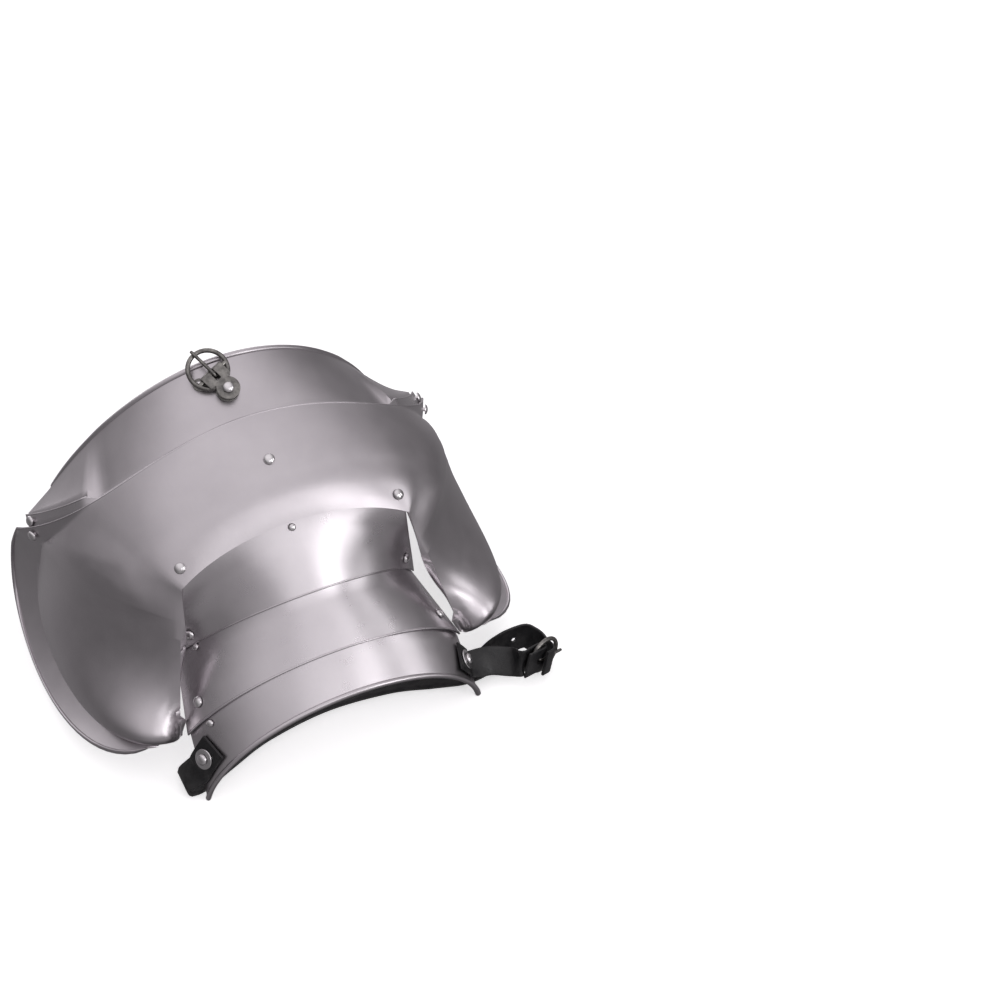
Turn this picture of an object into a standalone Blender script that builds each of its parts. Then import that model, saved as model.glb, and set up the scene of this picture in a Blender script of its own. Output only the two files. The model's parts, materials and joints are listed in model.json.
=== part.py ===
"""Steel pauldron: a domed shoulder plate with two wings, an upper neck plate with a narrow lame below it, three
riveted arm lames, a small buckle for the neck strap and a leather arm strap fastened in its own ring buckle.

It lies hollow side down. X runs from front to back, -Y points out along the arm, +Z is up, and it is symmetric
about X = 0 apart from the arm strap. Units are metres.
"""

from collections import namedtuple
from math import cos, pi, radians, sin

import bmesh
import bpy
import numpy as np
from mathutils import Matrix, Vector

# Driving sizes
SPAN = 0.190  # arm opening, from front to back
DEPTH = 0.168  # from the crown of the arm edge to the crown of the neck edge, measured level
HEIGHT = 0.205  # crown of the neck edge above the table
WALL = 0.0014  # steel sheet
LAME_GAP = 0.0008  # clearance between sheets that slide over each other
SEAT_GAP = 0.0003  # clearance between pieces that touch
OVERLAP = 0.014  # how far a sheet reaches under its neighbour
ROLL_RADIUS = 0.0020  # rolled edges
FLANGE = 0.006  # turned-in strip beside the cut-out
HEAD_RADIUS = 0.0036  # rivet heads
HEAD_RISE = 0.0021
SHANK_RADIUS = 0.0014
TAIL_RADIUS = 0.0026
TAIL_RISE = 0.0010
SEAM_HEAD_RADIUS = 0.0024  # the small rivet on the centre line
NECK_END = 0.960  # where the neck lame and the neck plate end, as a share of the shoulder plate's upper edge
NECK_LAME_BEND = 0.35  # how far the neck lame's ends turn to their corners
NECK_LAME_CROWN = 0.0022  # how much of the neck lame shows at its crown, and how much more at its flanks
NECK_LAME_FLANK = 0.0080
NECK_OVERLAP = 0.0110  # how far the neck plate reaches under the neck lame
PLATE_TO_NECK_INSIDE = 0.0050  # from the shoulder plate's edge to its rivets
NECK_LAME_RIVET_BACK = 0.0040  # from the neck lame's edge to its rivets
STRAP_WIDTH = 0.0195
STRAP_THICK = 0.0020
WASHER_RADIUS = 0.0067
WASHER_THICK = 0.0008
RING_RADIUS = 0.0125  # middle of the wire of both buckles' rings
WIRE_RADIUS = 0.0015
BAR_OFFSET = 0.0040  # from a ring's middle to its bar
PRONG_RADIUS = 0.0011
BUCKLE_SHEET = 0.0012
LOBE_RADIUS = 0.0075
LOBE_TO_BAR = 0.0135
TAB_THICK = 0.0016  # the short strap that holds the arm strap's buckle
MIDDLE_SHIFT = 0.0099  # puts the origin under the middle of the whole object
STEP = WALL + LAME_GAP
NECK_STEP = STEP * 1.2

# Edges of the sheets, each a symmetric arch. The crown's y and the ends' way back are shares of DEPTH, the crown's
# height and the ends' drop are shares of HEIGHT, and half the chord is a share of SPAN. The turn is how far the arch
# bends from its crown to an end, in degrees, and sway pulls its flanks forward.
Edge = namedtuple("Edge", "crown_y crown_z half back drop turn sway")
EDGES = {
    "neck": Edge(0.250, 1.000, 0.611, 0.250, 0.459, 50, 0.0),
    "plate_top": Edge(0.024, 0.907, 0.768, 0.369, 0.410, 50, -0.107),
    "cut_out": Edge(-0.315, 0.702, 0.400, -0.042, 0.088, 50, 0.0),
    "lame_1": Edge(-0.470, 0.517, 0.442, 0.202, 0.239, 70, 0.0),
    "lame_2": Edge(-0.637, 0.380, 0.498, 0.089, 0.210, 70, 0.0),
    "lame_3": Edge(-0.750, 0.283, 0.500, 0.048, 0.2685, 80, 0.0),
}

# The wing's rolled edge is a cubic curve from the end of plate_top to the tip, and the cut-out's side is a straight
# line from the end of cut_out to the tip: x as shares of SPAN, y of DEPTH, z of HEIGHT.
Point = namedtuple("Point", "x y z")
WING_BACK = Point(0.758, 1.327, -0.366)
WING_FRONT = Point(1.016, -0.708, 0.185)
WING_TIP = Point(0.558, -0.512, 0.151)
NECK_LAME_CORNER = Point(0.700, 0.429, 0.483)
SIDE_TIP = Point(0.526, -0.524, 0.146)

# Rays cross the shoulder plate from the cut-out to its outer edge. At = place of the ray, 0 at the crown and 1 at
# the tip; bulge = outward swell as a share of HEIGHT; rim = flat outer strip as a share of the ray; flange = share
# of FLANGE that is turned in beside the cut-out.
Ray = namedtuple("Ray", "at bulge rim flange")
RAYS = [
    Ray(0.00, 0.030, 0.00, 0.0),
    Ray(0.30, 0.045, 0.00, 0.0),
    Ray(0.45, 0.110, 0.16, 0.3),
    Ray(0.60, 0.150, 0.17, 0.8),
    Ray(0.80, 0.120, 0.26, 1.0),
    Ray(1.00, 0.010, 0.30, 0.3),
]
RAY_AT_CORNER = 0.30  # where the inner end of a ray turns from cut_out to the cut-out's side
RAY_AT_WING = 0.45  # where the outer end of a ray turns from plate_top to the wing
DOME_CORE = Point(0.0, 0.0, 0.15)  # the swell points away from here

NECK_HALF_STEPS = 12
WING_STEPS = 12
PLATE_STEPS = 5
ARCH_HALF_STEPS = 12
ROLL_STEPS = 4
PLAIN_STEPS = 3
RIVET_SIDES = 8
WIRE_SIDES = 6
RING_SIDES = 24
WASHER_SIDES = 12
STRAP_STEPS = 60
TAB_STEPS = 30

# Neck buckle: where its rivet stands on the neck plate and how far it turns to the front
NECK_BUCKLE_ACROSS = -0.04
NECK_BUCKLE_SHARE = 0.50
NECK_BUCKLE_TURN = 27
NECK_RING_TILT = 1
SPARE_RIVET_ACROSS = -0.146  # the small rivet beside the neck buckle, on a thin washer
SPARE_RIVET_SHARE = 0.75
SPARE_HEAD_RADIUS = 0.0021
SPARE_WASHER_RADIUS = 0.0042
SPARE_WASHER_THICK = 0.0005

CENTRE_RIVET_BACK = 0.041
STRAP_RIVET_ACROSS = 0.875
STRAP_RIVET_BACK = 0.0165

# The arm strap's route: x as shares of SPAN, y of DEPTH, z of HEIGHT. It turns under at the table, runs over it,
# rises and goes through the ring, whose rows are shares of RING_RADIUS in the ring's own frame.
STRAP_TURN = [Point(-0.550, -0.616, 0.042), Point(-0.553, -0.618, 0.022), Point(-0.540, -0.618, 0.008)]
STRAP_RUN = [
    Point(-0.500, -0.612, 0.0054),
    Point(-0.395, -0.560, 0.0054),
    Point(-0.237, -0.495, 0.0054),
    Point(0.000, -0.460, 0.0054),
    Point(0.237, -0.490, 0.0054),
    Point(0.395, -0.550, 0.0054),
    Point(0.500, -0.590, 0.0100),
]
Rise = namedtuple("Rise", "x y z upright")
STRAP_RISE = [
    Rise(0.600, -0.590, 0.034, 0.30),
    Rise(0.680, -0.568, 0.054, 0.80),
    Rise(0.745, -0.572, 0.062, 1.00),
]
STRAP_THROUGH = [(0.90, -1.28), (0.88, -0.75), (0.66, -0.20), (0.58, 0.23), (0.35, 0.55), (-0.25, 0.60)]
STRAP_HOLES = (0.80, 0.86)
TAB_RUN = [Point(0.575, -0.655, 0.085), Point(0.640, -0.690, 0.077)]
ARM_RING_AT = Point(0.742, -0.715, 0.0748)  # middle of the bar
ARM_RING_ALONG = (0.85, 0.30, -0.25)
ARM_RING_FACE = (0.33, -0.94, 0.0)


def material(name, colour, metallic, roughness):
    made = bpy.data.materials.new(name)
    made.use_nodes = True
    shader = made.node_tree.nodes["Principled BSDF"]
    shader.inputs["Base Color"].default_value = (*colour, 1.0)
    shader.inputs["Metallic"].default_value = metallic
    shader.inputs["Roughness"].default_value = roughness
    made.diffuse_color = (*colour, 1.0)
    return made


def clear_scene():
    for old in list(bpy.data.objects):
        bpy.data.objects.remove(old, do_unlink=True)


def add_solid(name, points, faces, look, sharp_degrees=35):
    """A mesh object from points and faces, its faces turned outward."""
    mesh = bpy.data.meshes.new(name)
    mesh.from_pydata([tuple(point) for point in points], [], faces)
    work = bmesh.new()
    work.from_mesh(mesh)
    bmesh.ops.recalc_face_normals(work, faces=work.faces)
    bmesh.ops.triangulate(work, faces=work.faces)
    work.to_mesh(mesh)
    work.free()
    mesh.shade_smooth()
    mesh.set_sharp_from_angle(angle=radians(sharp_degrees))
    made = bpy.data.objects.new(name, mesh)
    made.data.materials.append(look)
    bpy.context.scene.collection.objects.link(made)
    return made


def unit(vectors):
    vectors = np.asarray(vectors, float)
    return vectors / np.linalg.norm(vectors, axis=-1, keepdims=True)


def scaled(place):
    return np.array([place.x * SPAN, place.y * DEPTH, place.z * HEIGHT])


# Curves and surfaces of the sheets


def arch(name, across):
    """Point of an edge: across runs from -1 at the front end through 0 at the crown to 1 at the back end."""
    edge = EDGES[name]
    turn = radians(edge.turn)
    angle = across * turn
    fall = (1 - cos(angle)) / (1 - cos(turn))
    lean = 4 * fall * (1 - fall)
    return np.array(
        [
            edge.half * SPAN * sin(angle) / sin(turn),
            DEPTH * (edge.crown_y + edge.back * fall + edge.sway * lean),
            HEIGHT * (edge.crown_z - edge.drop * fall),
        ]
    )


def mirrored(point, side):
    return point * np.array([side, 1.0, 1.0])


def ray_ends(at):
    """Inner and outer end of the ray at a place from -1 through 0 to 1."""
    side = -1.0 if at < 0 else 1.0
    at = abs(at)
    if at <= RAY_AT_CORNER:
        inner = arch("cut_out", at / RAY_AT_CORNER)
    else:
        along = (at - RAY_AT_CORNER) / (1 - RAY_AT_CORNER)
        inner = arch("cut_out", 1.0) * (1 - along) + scaled(SIDE_TIP) * along
    if at <= RAY_AT_WING:
        outer = arch("plate_top", at / RAY_AT_WING)
    else:
        t = (at - RAY_AT_WING) / (1 - RAY_AT_WING)
        start = arch("plate_top", 1.0)
        outer = (
            start * (1 - t) ** 3
            + scaled(WING_BACK) * 3 * t * (1 - t) ** 2
            + scaled(WING_FRONT) * 3 * t * t * (1 - t)
            + scaled(WING_TIP) * t**3
        )
    return mirrored(inner, side), mirrored(outer, side)


def ray_form(at):
    """Bulge in metres, rim share and flange share of the ray, read smoothly from RAYS."""
    at = abs(at)
    for low, high in zip(RAYS, RAYS[1:]):
        if at <= high.at:
            break
    share = (at - low.at) / (high.at - low.at)
    ease = share * share * (3 - 2 * share)
    mixed = [a + (b - a) * ease for a, b in zip(low[1:], high[1:])]
    return mixed[0] * HEIGHT, mixed[1], mixed[2]


def plate_point(at, along):
    """Middle surface of the shoulder plate: along runs from 0 at the cut-out to 1 at the outer edge."""
    inner, outer = ray_ends(at)
    bulge, rim, _ = ray_form(at)
    chord = outer - inner
    heading = unit(chord)
    swell = (inner + outer) / 2 - scaled(DOME_CORE)
    swell = unit(swell - heading * np.dot(swell, heading))
    inside = 1 - rim
    rise = sin(pi * along / inside) if 0 < along < inside else 0.0
    return inner + chord * along + swell * bulge * rise**0.85


def outward(point, normal):
    core = scaled(DOME_CORE)
    return normal if np.dot(normal, point - core) > 0 else -normal


def slope_normal(tangent, slope, point):
    return outward(point, unit(np.cross(tangent, slope)))


def edge_tangent(name, across):
    step = 1e-3
    return arch(name, across + step) - arch(name, across - step)


ARM_CHAIN = ["cut_out", "lame_1", "lame_2", "lame_3"]


def plate_normal(at, along):
    step = 1e-3
    low = along - step if along > 0.5 else along
    across = plate_point(min(at + step, 1.0), along) - plate_point(max(at - step, -1.0), along)
    down = plate_point(at, low + step) - plate_point(at, low)
    return slope_normal(across, down, plate_point(at, along))


def nearest_on_plate(target, at, along):
    """Place on the shoulder plate nearest to a target, found step by step from a first guess."""
    step = 1e-3
    for _ in range(8):
        here = plate_point(at, along)
        slopes = np.array([plate_point(at + step, along) - here, plate_point(at, along - step) - here]).T
        move = np.linalg.lstsq(slopes / step, target - here, rcond=None)[0]
        at = min(max(at + move[0], -0.98), 0.98)
        along = min(max(along - move[1], 0.1), 1.0)
    return at, along


def neck_place(across, inside, depth):
    """Point under the neck edge of the shoulder plate and its normal: inside is the distance under the plate, square
    to its edge and negative beyond it, and depth is how far below the plate's middle surface."""
    at = across * RAY_AT_WING
    edge = arch("plate_top", across)
    normal = plate_normal(at, 1.0)
    square = unit(np.cross(normal, edge_tangent("plate_top", across)))
    if np.dot(square, plate_point(0.0, 0.5) - arch("plate_top", 0.0)) < 0:
        square = -square
    if inside <= 0:
        return edge + square * inside - normal * depth, normal
    at, along = nearest_on_plate(edge + square * inside, at, 1 - inside / 0.16)
    normal = plate_normal(at, along)
    return plate_point(at, along) - normal * depth, normal


def neck_lame_edge(across):
    """The neck lame's free edge: it runs on from the shoulder plate at the crown and bends in to its two corners."""
    seam = neck_place(across, 0.0, NECK_STEP)[0]
    shown = NECK_LAME_CROWN + NECK_LAME_FLANK * across**2
    straight = neck_place(across, -shown, NECK_STEP)[0] - seam
    corner = scaled(NECK_LAME_CORNER) - neck_place(NECK_END, 0.0, NECK_STEP)[0]
    bend = NECK_LAME_BEND * (across / NECK_END) ** 4
    return seam + straight * (1 - bend) + mirrored(corner, 1.0 if across > 0 else -1.0) * bend


def neck_lame_place(across, back, depth):
    """Point under the neck lame's edge and its normal: back is the distance from that edge, depth how far below its
    middle surface."""
    edge = neck_lame_edge(across)
    seam, seam_normal = neck_place(across, 0.0, NECK_STEP)
    shown = np.linalg.norm(seam - edge)
    if back > shown:
        return neck_place(across, back - shown, NECK_STEP + depth)
    share = back / shown
    tangent = neck_lame_edge(across + 0.005) - neck_lame_edge(across - 0.005)
    normal = slope_normal(tangent, seam - edge, edge)
    normal = unit(normal * (1 - share) + seam_normal * share)
    return edge + (seam - edge) * share - normal * depth, normal


def neck_plate_place(across, share):
    """Point and normal of the neck plate's shown part: share runs from 0 at the neck lame to 1 at the neck edge."""
    low = neck_lame_place(across, -2 * WALL, NECK_STEP)[0]
    high = arch("neck", across / NECK_END)
    return low + (high - low) * share, slope_normal(edge_tangent("neck", across / NECK_END), high - low, high)


def sheet_point(chain, index, across, back):
    """Middle surface of the sheet whose free edge is chain[index], a distance back from that edge."""
    if index == 0:
        at = across * RAY_AT_CORNER
        inner, outer = ray_ends(at)
        return plate_point(at, back / np.linalg.norm(outer - inner))
    edge = arch(chain[index], across)
    above = arch(chain[index - 1], across)
    shown = np.linalg.norm(above - edge)
    if back <= shown:
        share = back / shown
        normal = sheet_place(chain, index - 1, across, 0.0)[1]
        return edge + (above - edge) * share - normal * STEP * share
    point, normal = sheet_place(chain, index - 1, across, back - shown)
    return point - normal * STEP


def sheet_shown(chain, index, across):
    return np.linalg.norm(arch(chain[index - 1], across) - arch(chain[index], across))


def sheet_place(chain, index, across, back):
    """Point on the middle surface and its outward normal."""
    here = sheet_point(chain, index, across, back)
    sides = (min(across + 0.03, 1.0), max(across - 0.03, -1.0))
    along = sheet_point(chain, index, sides[0], back) - sheet_point(chain, index, sides[1], back)
    behind = sheet_point(chain, index, across, back + 0.002)
    return here, slope_normal(along, here - behind, here)


# Closed sheets


def grid_normals(grid):
    normals = np.cross(np.gradient(grid, axis=0), np.gradient(grid, axis=1))
    core = scaled(DOME_CORE)
    facing = np.sign(np.sum(normals * (grid - core), axis=-1, keepdims=True))
    return unit(normals * facing)


def closed_sheet(name, grid, roll, look):
    """Thickens a grid of middle points. Its last column is the free edge, rolled with the radius given for each row,
    where a radius of about half the wall gives a plain rounded edge."""
    rows, columns, _ = grid.shape
    steps = ROLL_STEPS if max(roll) > WALL else PLAIN_STEPS
    normals = grid_normals(grid)
    outer = grid + normals * WALL / 2
    inner = grid - normals * WALL / 2
    away = unit(grid[:, -1] - grid[:, -2])
    points = np.concatenate([outer.reshape(-1, 3), inner.reshape(-1, 3)])
    rolls = []
    start = radians(140)
    for row in range(rows):
        centre = grid[row, -1] + away[row] * roll[row] * 0.9
        for k in range(steps):
            angle = start - 2 * start * k / (steps - 1)
            rolls.append(centre + roll[row] * (away[row] * cos(angle) + normals[row, -1] * sin(angle)))
    points = np.concatenate([points, np.array(rolls)])
    count = rows * columns

    def top(i, j):
        return i * columns + j

    def under(i, j):
        return count + i * columns + j

    def bead(i, k):
        return 2 * count + i * steps + k

    faces = []
    last = columns - 1
    for i in range(rows - 1):
        for j in range(last):
            faces.append((top(i, j), top(i + 1, j), top(i + 1, j + 1), top(i, j + 1)))
            faces.append((under(i, j), under(i, j + 1), under(i + 1, j + 1), under(i + 1, j)))
        faces.append((top(i, 0), under(i, 0), under(i + 1, 0), top(i + 1, 0)))
        faces.append((top(i, last), top(i + 1, last), bead(i + 1, 0), bead(i, 0)))
        for k in range(steps - 1):
            faces.append((bead(i, k), bead(i + 1, k), bead(i + 1, k + 1), bead(i, k + 1)))
        faces.append((bead(i, steps - 1), bead(i + 1, steps - 1), under(i + 1, last), under(i, last)))
    for i in (0, rows - 1):
        for j in range(last):
            faces.append((top(i, j), top(i, j + 1), under(i, j + 1), under(i, j)))
        beads = [bead(i, k) for k in range(steps)]
        faces.append((top(i, last), *beads, under(i, last)))
    return add_solid(name, points, faces, look, 50)


def make_shoulder_plate(look):
    half = list(np.linspace(0, RAY_AT_WING, NECK_HALF_STEPS + 1))
    half += list(RAY_AT_WING + (1 - RAY_AT_WING) * np.linspace(0, 1, WING_STEPS + 1)[1:] ** 1.3)
    stations = [-at for at in half[:0:-1]] + half
    grid = []
    roll = []
    for at in stations:
        inner, outer = ray_ends(at)
        length = np.linalg.norm(outer - inner)
        near = min(OVERLAP / length, 0.2)
        far = 1 - max(near, ray_form(at)[1])
        steps = [0.0, near / 2]
        steps += list(np.linspace(near, far, PLATE_STEPS))
        steps += [(1 + far) / 2, 1.0]
        row = [plate_point(at, along) for along in steps]
        flange = ray_form(at)[2]
        first = unit(row[0] - row[1])
        inward = -outward(row[0], slope_normal(row[1] - row[0], ray_ends(at + 1e-3)[0] - ray_ends(at - 1e-3)[0], row[0]))
        turned = unit(first * (1 - flange) + inward * flange)
        lip = row[0] + turned * (0.0006 + FLANGE * flange)
        grid.append([lip, *row])
        past = max(0.0, min(1.0, (abs(at) - RAY_AT_WING) / 0.04))
        roll.append(WALL * 0.55 + (ROLL_RADIUS - WALL * 0.55) * past)
    return closed_sheet("shoulder_plate", np.array(grid), roll, look)


def make_lame(name, index, rolled, look):
    grid = []
    for across in np.linspace(-1, 1, 2 * ARCH_HALF_STEPS + 1):
        shown = sheet_shown(ARM_CHAIN, index, across)
        backs = [shown + OVERLAP, shown + OVERLAP / 2, shown, shown / 2, 0.0]
        grid.append([sheet_point(ARM_CHAIN, index, across, back) for back in backs])
    roll = [ROLL_RADIUS if rolled else WALL * 0.55] * len(grid)
    return closed_sheet(name, np.array(grid), roll, look)


def make_neck_lame(look):
    grid = []
    for across in np.linspace(-NECK_END, NECK_END, 2 * NECK_HALF_STEPS + 1):
        under = OVERLAP * (1 - 0.35 * across**2)
        row = [neck_place(across, inside, NECK_STEP)[0] for inside in (under, under / 2, 0.0)]
        grid.append([*row, neck_lame_edge(across)])
    return closed_sheet("neck_lame", np.array(grid), [WALL * 0.55] * len(grid), look)


def make_neck_plate(look):
    grid = []
    for across in np.linspace(-NECK_END, NECK_END, 2 * NECK_HALF_STEPS + 1):
        row = [neck_lame_place(across, back, NECK_STEP)[0] for back in (NECK_OVERLAP, NECK_OVERLAP / 2, 0.0)]
        row += [neck_plate_place(across, share)[0] for share in (0.0, 0.33, 0.67, 1.0)]
        grid.append(row)
    return closed_sheet("neck_plate", np.array(grid), [ROLL_RADIUS] * len(grid), look)


# Rivets


def turned_solid(name, profile, sides, look):
    """Turns a profile of (radius, height) rows, from the top of the axis to its foot, round Z."""
    points = [(0.0, 0.0, profile[0][1])]
    for radius, height in profile[1:-1]:
        for k in range(sides):
            angle = 2 * pi * k / sides
            points.append((radius * cos(angle), radius * sin(angle), height))
    points.append((0.0, 0.0, profile[-1][1]))
    rings = len(profile) - 2
    faces = []
    for k in range(sides):
        after = (k + 1) % sides
        faces.append((0, 1 + k, 1 + after))
        for ring in range(rings - 1):
            low = 1 + ring * sides
            faces.append((low + k, low + sides + k, low + sides + after, low + after))
        foot = 1 + (rings - 1) * sides
        faces.append((foot + k, len(points) - 1, foot + after))
    return add_solid(name, points, faces, look)


def stand(made, point, normal, heading=None):
    """Places an object so that its Z lies along the normal and its Y near the heading."""
    z = Vector(normal).normalized()
    y = Vector(heading) if heading is not None else Vector((0.0, 0.0, 1.0))
    x = y.cross(z).normalized()
    turn = Matrix((x, z.cross(x), z)).transposed().to_4x4()
    made.matrix_world = Matrix.Translation(Vector(point)) @ turn
    return made


def make_rivet(name, point, normal, top, depth, look, head=HEAD_RADIUS):
    """A round-headed rivet: point lies on the middle of a sheet, its head stands on a face at this height over the
    point, and its tail lies under the sheet that is depth further in."""
    seat = top + 2 * SEAT_GAP
    grip = depth + WALL / 2 + SEAT_GAP
    rise = HEAD_RISE * head / HEAD_RADIUS
    profile = [(0, seat + rise)]
    profile += [(head * sin(a), seat + rise * cos(a)) for a in (radians(30), radians(60))]
    profile += [(head, seat), (SHANK_RADIUS, seat), (SHANK_RADIUS, -grip - SEAT_GAP)]
    profile += [(TAIL_RADIUS, -grip - SEAT_GAP), (0, -grip - SEAT_GAP - TAIL_RISE)]
    return stand(turned_solid(name, profile, RIVET_SIDES, look), point, normal)


def drill(sheet, holes, length=4 * STEP):
    """Cuts round holes through a sheet: each hole is (point, normal)."""
    radius = SHANK_RADIUS + SEAT_GAP
    points = []
    faces = []
    for point, normal in holes:
        z = Vector(normal).normalized()
        x = z.orthogonal().normalized()
        y = z.cross(x)
        base = len(points)
        for end in (-length, length):
            for k in range(RIVET_SIDES):
                angle = 2 * pi * k / RIVET_SIDES
                points.append(Vector(point) + x * radius * cos(angle) + y * radius * sin(angle) + z * end)
        low = [base + k for k in range(RIVET_SIDES)]
        high = [base + RIVET_SIDES + k for k in range(RIVET_SIDES)]
        faces.append(tuple(reversed(low)))
        faces.append(tuple(high))
        for k in range(RIVET_SIDES):
            after = (k + 1) % RIVET_SIDES
            faces.append((low[k], low[after], high[after], high[k]))
    cutter = add_solid(sheet.name + "_drill", points, faces, sheet.data.materials[0])
    hide_helper(cutter)
    cut = sheet.modifiers.new("holes", "BOOLEAN")
    cut.operation = "DIFFERENCE"
    cut.object = cutter


# Straps


def smooth_route(rows, count):
    """Points of a Catmull-Rom curve through the rows, evenly spaced."""
    rows = np.asarray(rows, float)
    ends = np.vstack([2 * rows[0] - rows[1], rows, 2 * rows[-1] - rows[-2]])
    dense = []
    for place in np.linspace(0, len(rows) - 1, 40 * len(rows)):
        i = min(int(place), len(rows) - 2)
        t = place - i
        p0, p1, p2, p3 = ends[i : i + 4]
        bend = (2 * p0 - 5 * p1 + 4 * p2 - p3) * t**2 + (3 * p1 - p0 - 3 * p2 + p3) * t**3
        dense.append(0.5 * (2 * p1 + (p2 - p0) * t + bend))
    dense = np.array(dense)
    lengths = np.concatenate([[0], np.cumsum(np.linalg.norm(np.diff(dense[:, :3], axis=0), axis=1))])
    wanted = np.linspace(0, lengths[-1], count)
    return np.array([np.interp(wanted, lengths, column) for column in dense.T]).T


def ribbon(name, route, wide, width, thick, look):
    """A flat band along a route: wide holds the direction of its width at each point."""
    heading = unit(np.gradient(route, axis=0))
    wide = unit(wide - heading * np.sum(wide * heading, axis=-1, keepdims=True))
    up = np.cross(heading, wide)
    width = np.broadcast_to(width, len(route))
    corners = [(-1, -1), (1, -1), (1, 1), (-1, 1)]
    points = []
    for place, w, u, across in zip(route, wide, up, width):
        for a, b in corners:
            points.append(place + w * a * across / 2 + u * b * thick / 2)
    faces = [(0, 1, 2, 3)]
    for i in range(len(route) - 1):
        for k in range(4):
            after = (k + 1) % 4
            faces.append((4 * i + k, 4 * i + after, 4 * i + 4 + after, 4 * i + 4 + k))
    end = 4 * (len(route) - 1)
    faces.append((end + 3, end + 2, end + 1, end))
    return add_solid(name, points, faces, look, 40)


# Buckles


def frame(origin, along, normal):
    """Matrix with its Z on the normal and its X near along."""
    z = Vector(normal).normalized()
    x = Vector(along)
    x = (x - z * x.dot(z)).normalized()
    turn = Matrix((x, z.cross(x), z)).transposed().to_4x4()
    return Matrix.Translation(Vector(origin)) @ turn


def placed(place, points):
    return np.array([tuple(place @ Vector(point)) for point in points])


def hide_helper(helper):
    helper.hide_render = True
    helper.display_type = "WIRE"


def join(made, other):
    """Adds another closed mesh to an object."""
    hide_helper(other)
    joined = made.modifiers.new("join", "BOOLEAN")
    joined.operation = "UNION"
    joined.object = other


def cut_box(made, low, high, place):
    """Cuts a box, given by two corners in the frame of place."""
    corners = [(x, y, z) for x in (low[0], high[0]) for y in (low[1], high[1]) for z in (low[2], high[2])]
    faces = [(0, 1, 3, 2), (4, 6, 7, 5), (0, 4, 5, 1), (2, 3, 7, 6), (0, 2, 6, 4), (1, 5, 7, 3)]
    cutter = add_solid(made.name + "_slot", placed(place, corners), faces, made.data.materials[0])
    hide_helper(cutter)
    cut = made.modifiers.new("slot", "BOOLEAN")
    cut.operation = "DIFFERENCE"
    cut.object = cutter


def round_wire(name, route, axis, radius, cyclic, place, look):
    """A closed round wire along a route that lies in the plane square to axis, in the frame of place."""
    route = np.asarray(route, float)
    axis = np.asarray(axis, float)
    count = len(route)
    if cyclic:
        heading = unit(np.roll(route, -1, axis=0) - np.roll(route, 1, axis=0))
    else:
        heading = unit(np.gradient(route, axis=0))
    points = []
    for centre, ahead in zip(route, heading):
        out = np.cross(ahead, axis)
        for k in range(WIRE_SIDES):
            angle = 2 * pi * k / WIRE_SIDES
            points.append(centre + radius * (out * cos(angle) + axis * sin(angle)))
    faces = []
    for i in range(count if cyclic else count - 1):
        low = i * WIRE_SIDES
        high = (i + 1) % count * WIRE_SIDES
        for k in range(WIRE_SIDES):
            side = (k + 1) % WIRE_SIDES
            faces.append((low + k, high + k, high + side, low + side))
    if not cyclic:
        faces.append(tuple(range(WIRE_SIDES)))
        faces.append(tuple(range((count - 1) * WIRE_SIDES, count * WIRE_SIDES)))
    return add_solid(name, placed(place, points), faces, look)


def make_ring(name, place, look):
    """A round ring whose straight bar lies on the Y axis of place."""
    circle = []
    for k in range(RING_SIDES):
        angle = 2 * pi * k / RING_SIDES
        circle.append((BAR_OFFSET + RING_RADIUS * cos(angle), RING_RADIUS * sin(angle), 0.0))
    ring = round_wire(name, circle, (0, 0, 1), WIRE_RADIUS, True, place, look)
    half = (RING_RADIUS**2 - BAR_OFFSET**2) ** 0.5
    route = [(0, -half, 0), (0, 0, 0), (0, half, 0)]
    join(ring, round_wire(name + "_bar", route, (0, 0, 1), WIRE_RADIUS * 0.97, False, place, look))
    return ring


def make_prong(name, place, look):
    """A prong that loops round the bar and lies across the far side of the ring."""
    loop = WIRE_RADIUS + SEAT_GAP + PRONG_RADIUS
    reach = BAR_OFFSET + RING_RADIUS
    route = [(loop * cos(radians(a)), 0.0, loop * sin(radians(a))) for a in range(350, 89, -26)]
    route += [(reach * share, 0.0, loop) for share in (0.4, 0.8, 1.0, 1.17)]
    return round_wire(name, route, (0, 1, 0), PRONG_RADIUS, False, place, look)


def make_buckle_plate(name, place, look):
    """A plate that is folded round the bar: its layers end in round lobes, the lower one flat on the neck plate."""
    loop = WIRE_RADIUS + SEAT_GAP + BUCKLE_SHEET / 2
    low = -loop
    route = []
    width = []
    lobe = [(-0.97, 0.5), (-0.8, 1.2), (-0.45, 1.79), (0.0, 2.0), (0.45, 1.79), (0.72, 1.3)]
    for share, spread in lobe:
        route.append((share * LOBE_RADIUS - LOBE_TO_BAR, 0.0, low))
        width.append(spread * LOBE_RADIUS)
    for share, spread in [(0.6, 1.25), (0.5, 2.25), (0.25, 2.25)]:
        route.append((-share * LOBE_TO_BAR, 0.0, low))
        width.append(spread * LOBE_RADIUS)
    rest = len(route)
    for angle in range(-90, 91, 30):
        route.append((loop * cos(radians(angle)), 0.0, loop * sin(radians(angle))))
        width.append(2.25 * LOBE_RADIUS)
    for (x, _, _), spread in zip(route[:rest][::-1], width[:rest][::-1]):
        route.append((x, 0.0, loop))
        width.append(spread)
    wide = np.array([tuple(place.to_3x3() @ Vector((0, 1, 0)))] * len(route))
    plate = ribbon(name, placed(place, route), wide, np.array(width), BUCKLE_SHEET, look)
    half = PRONG_RADIUS + 2.5 * SEAT_GAP
    cut_box(plate, (-0.42 * LOBE_TO_BAR, -half, -0.01), (0.01, half, 0.01), place)
    return plate


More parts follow.
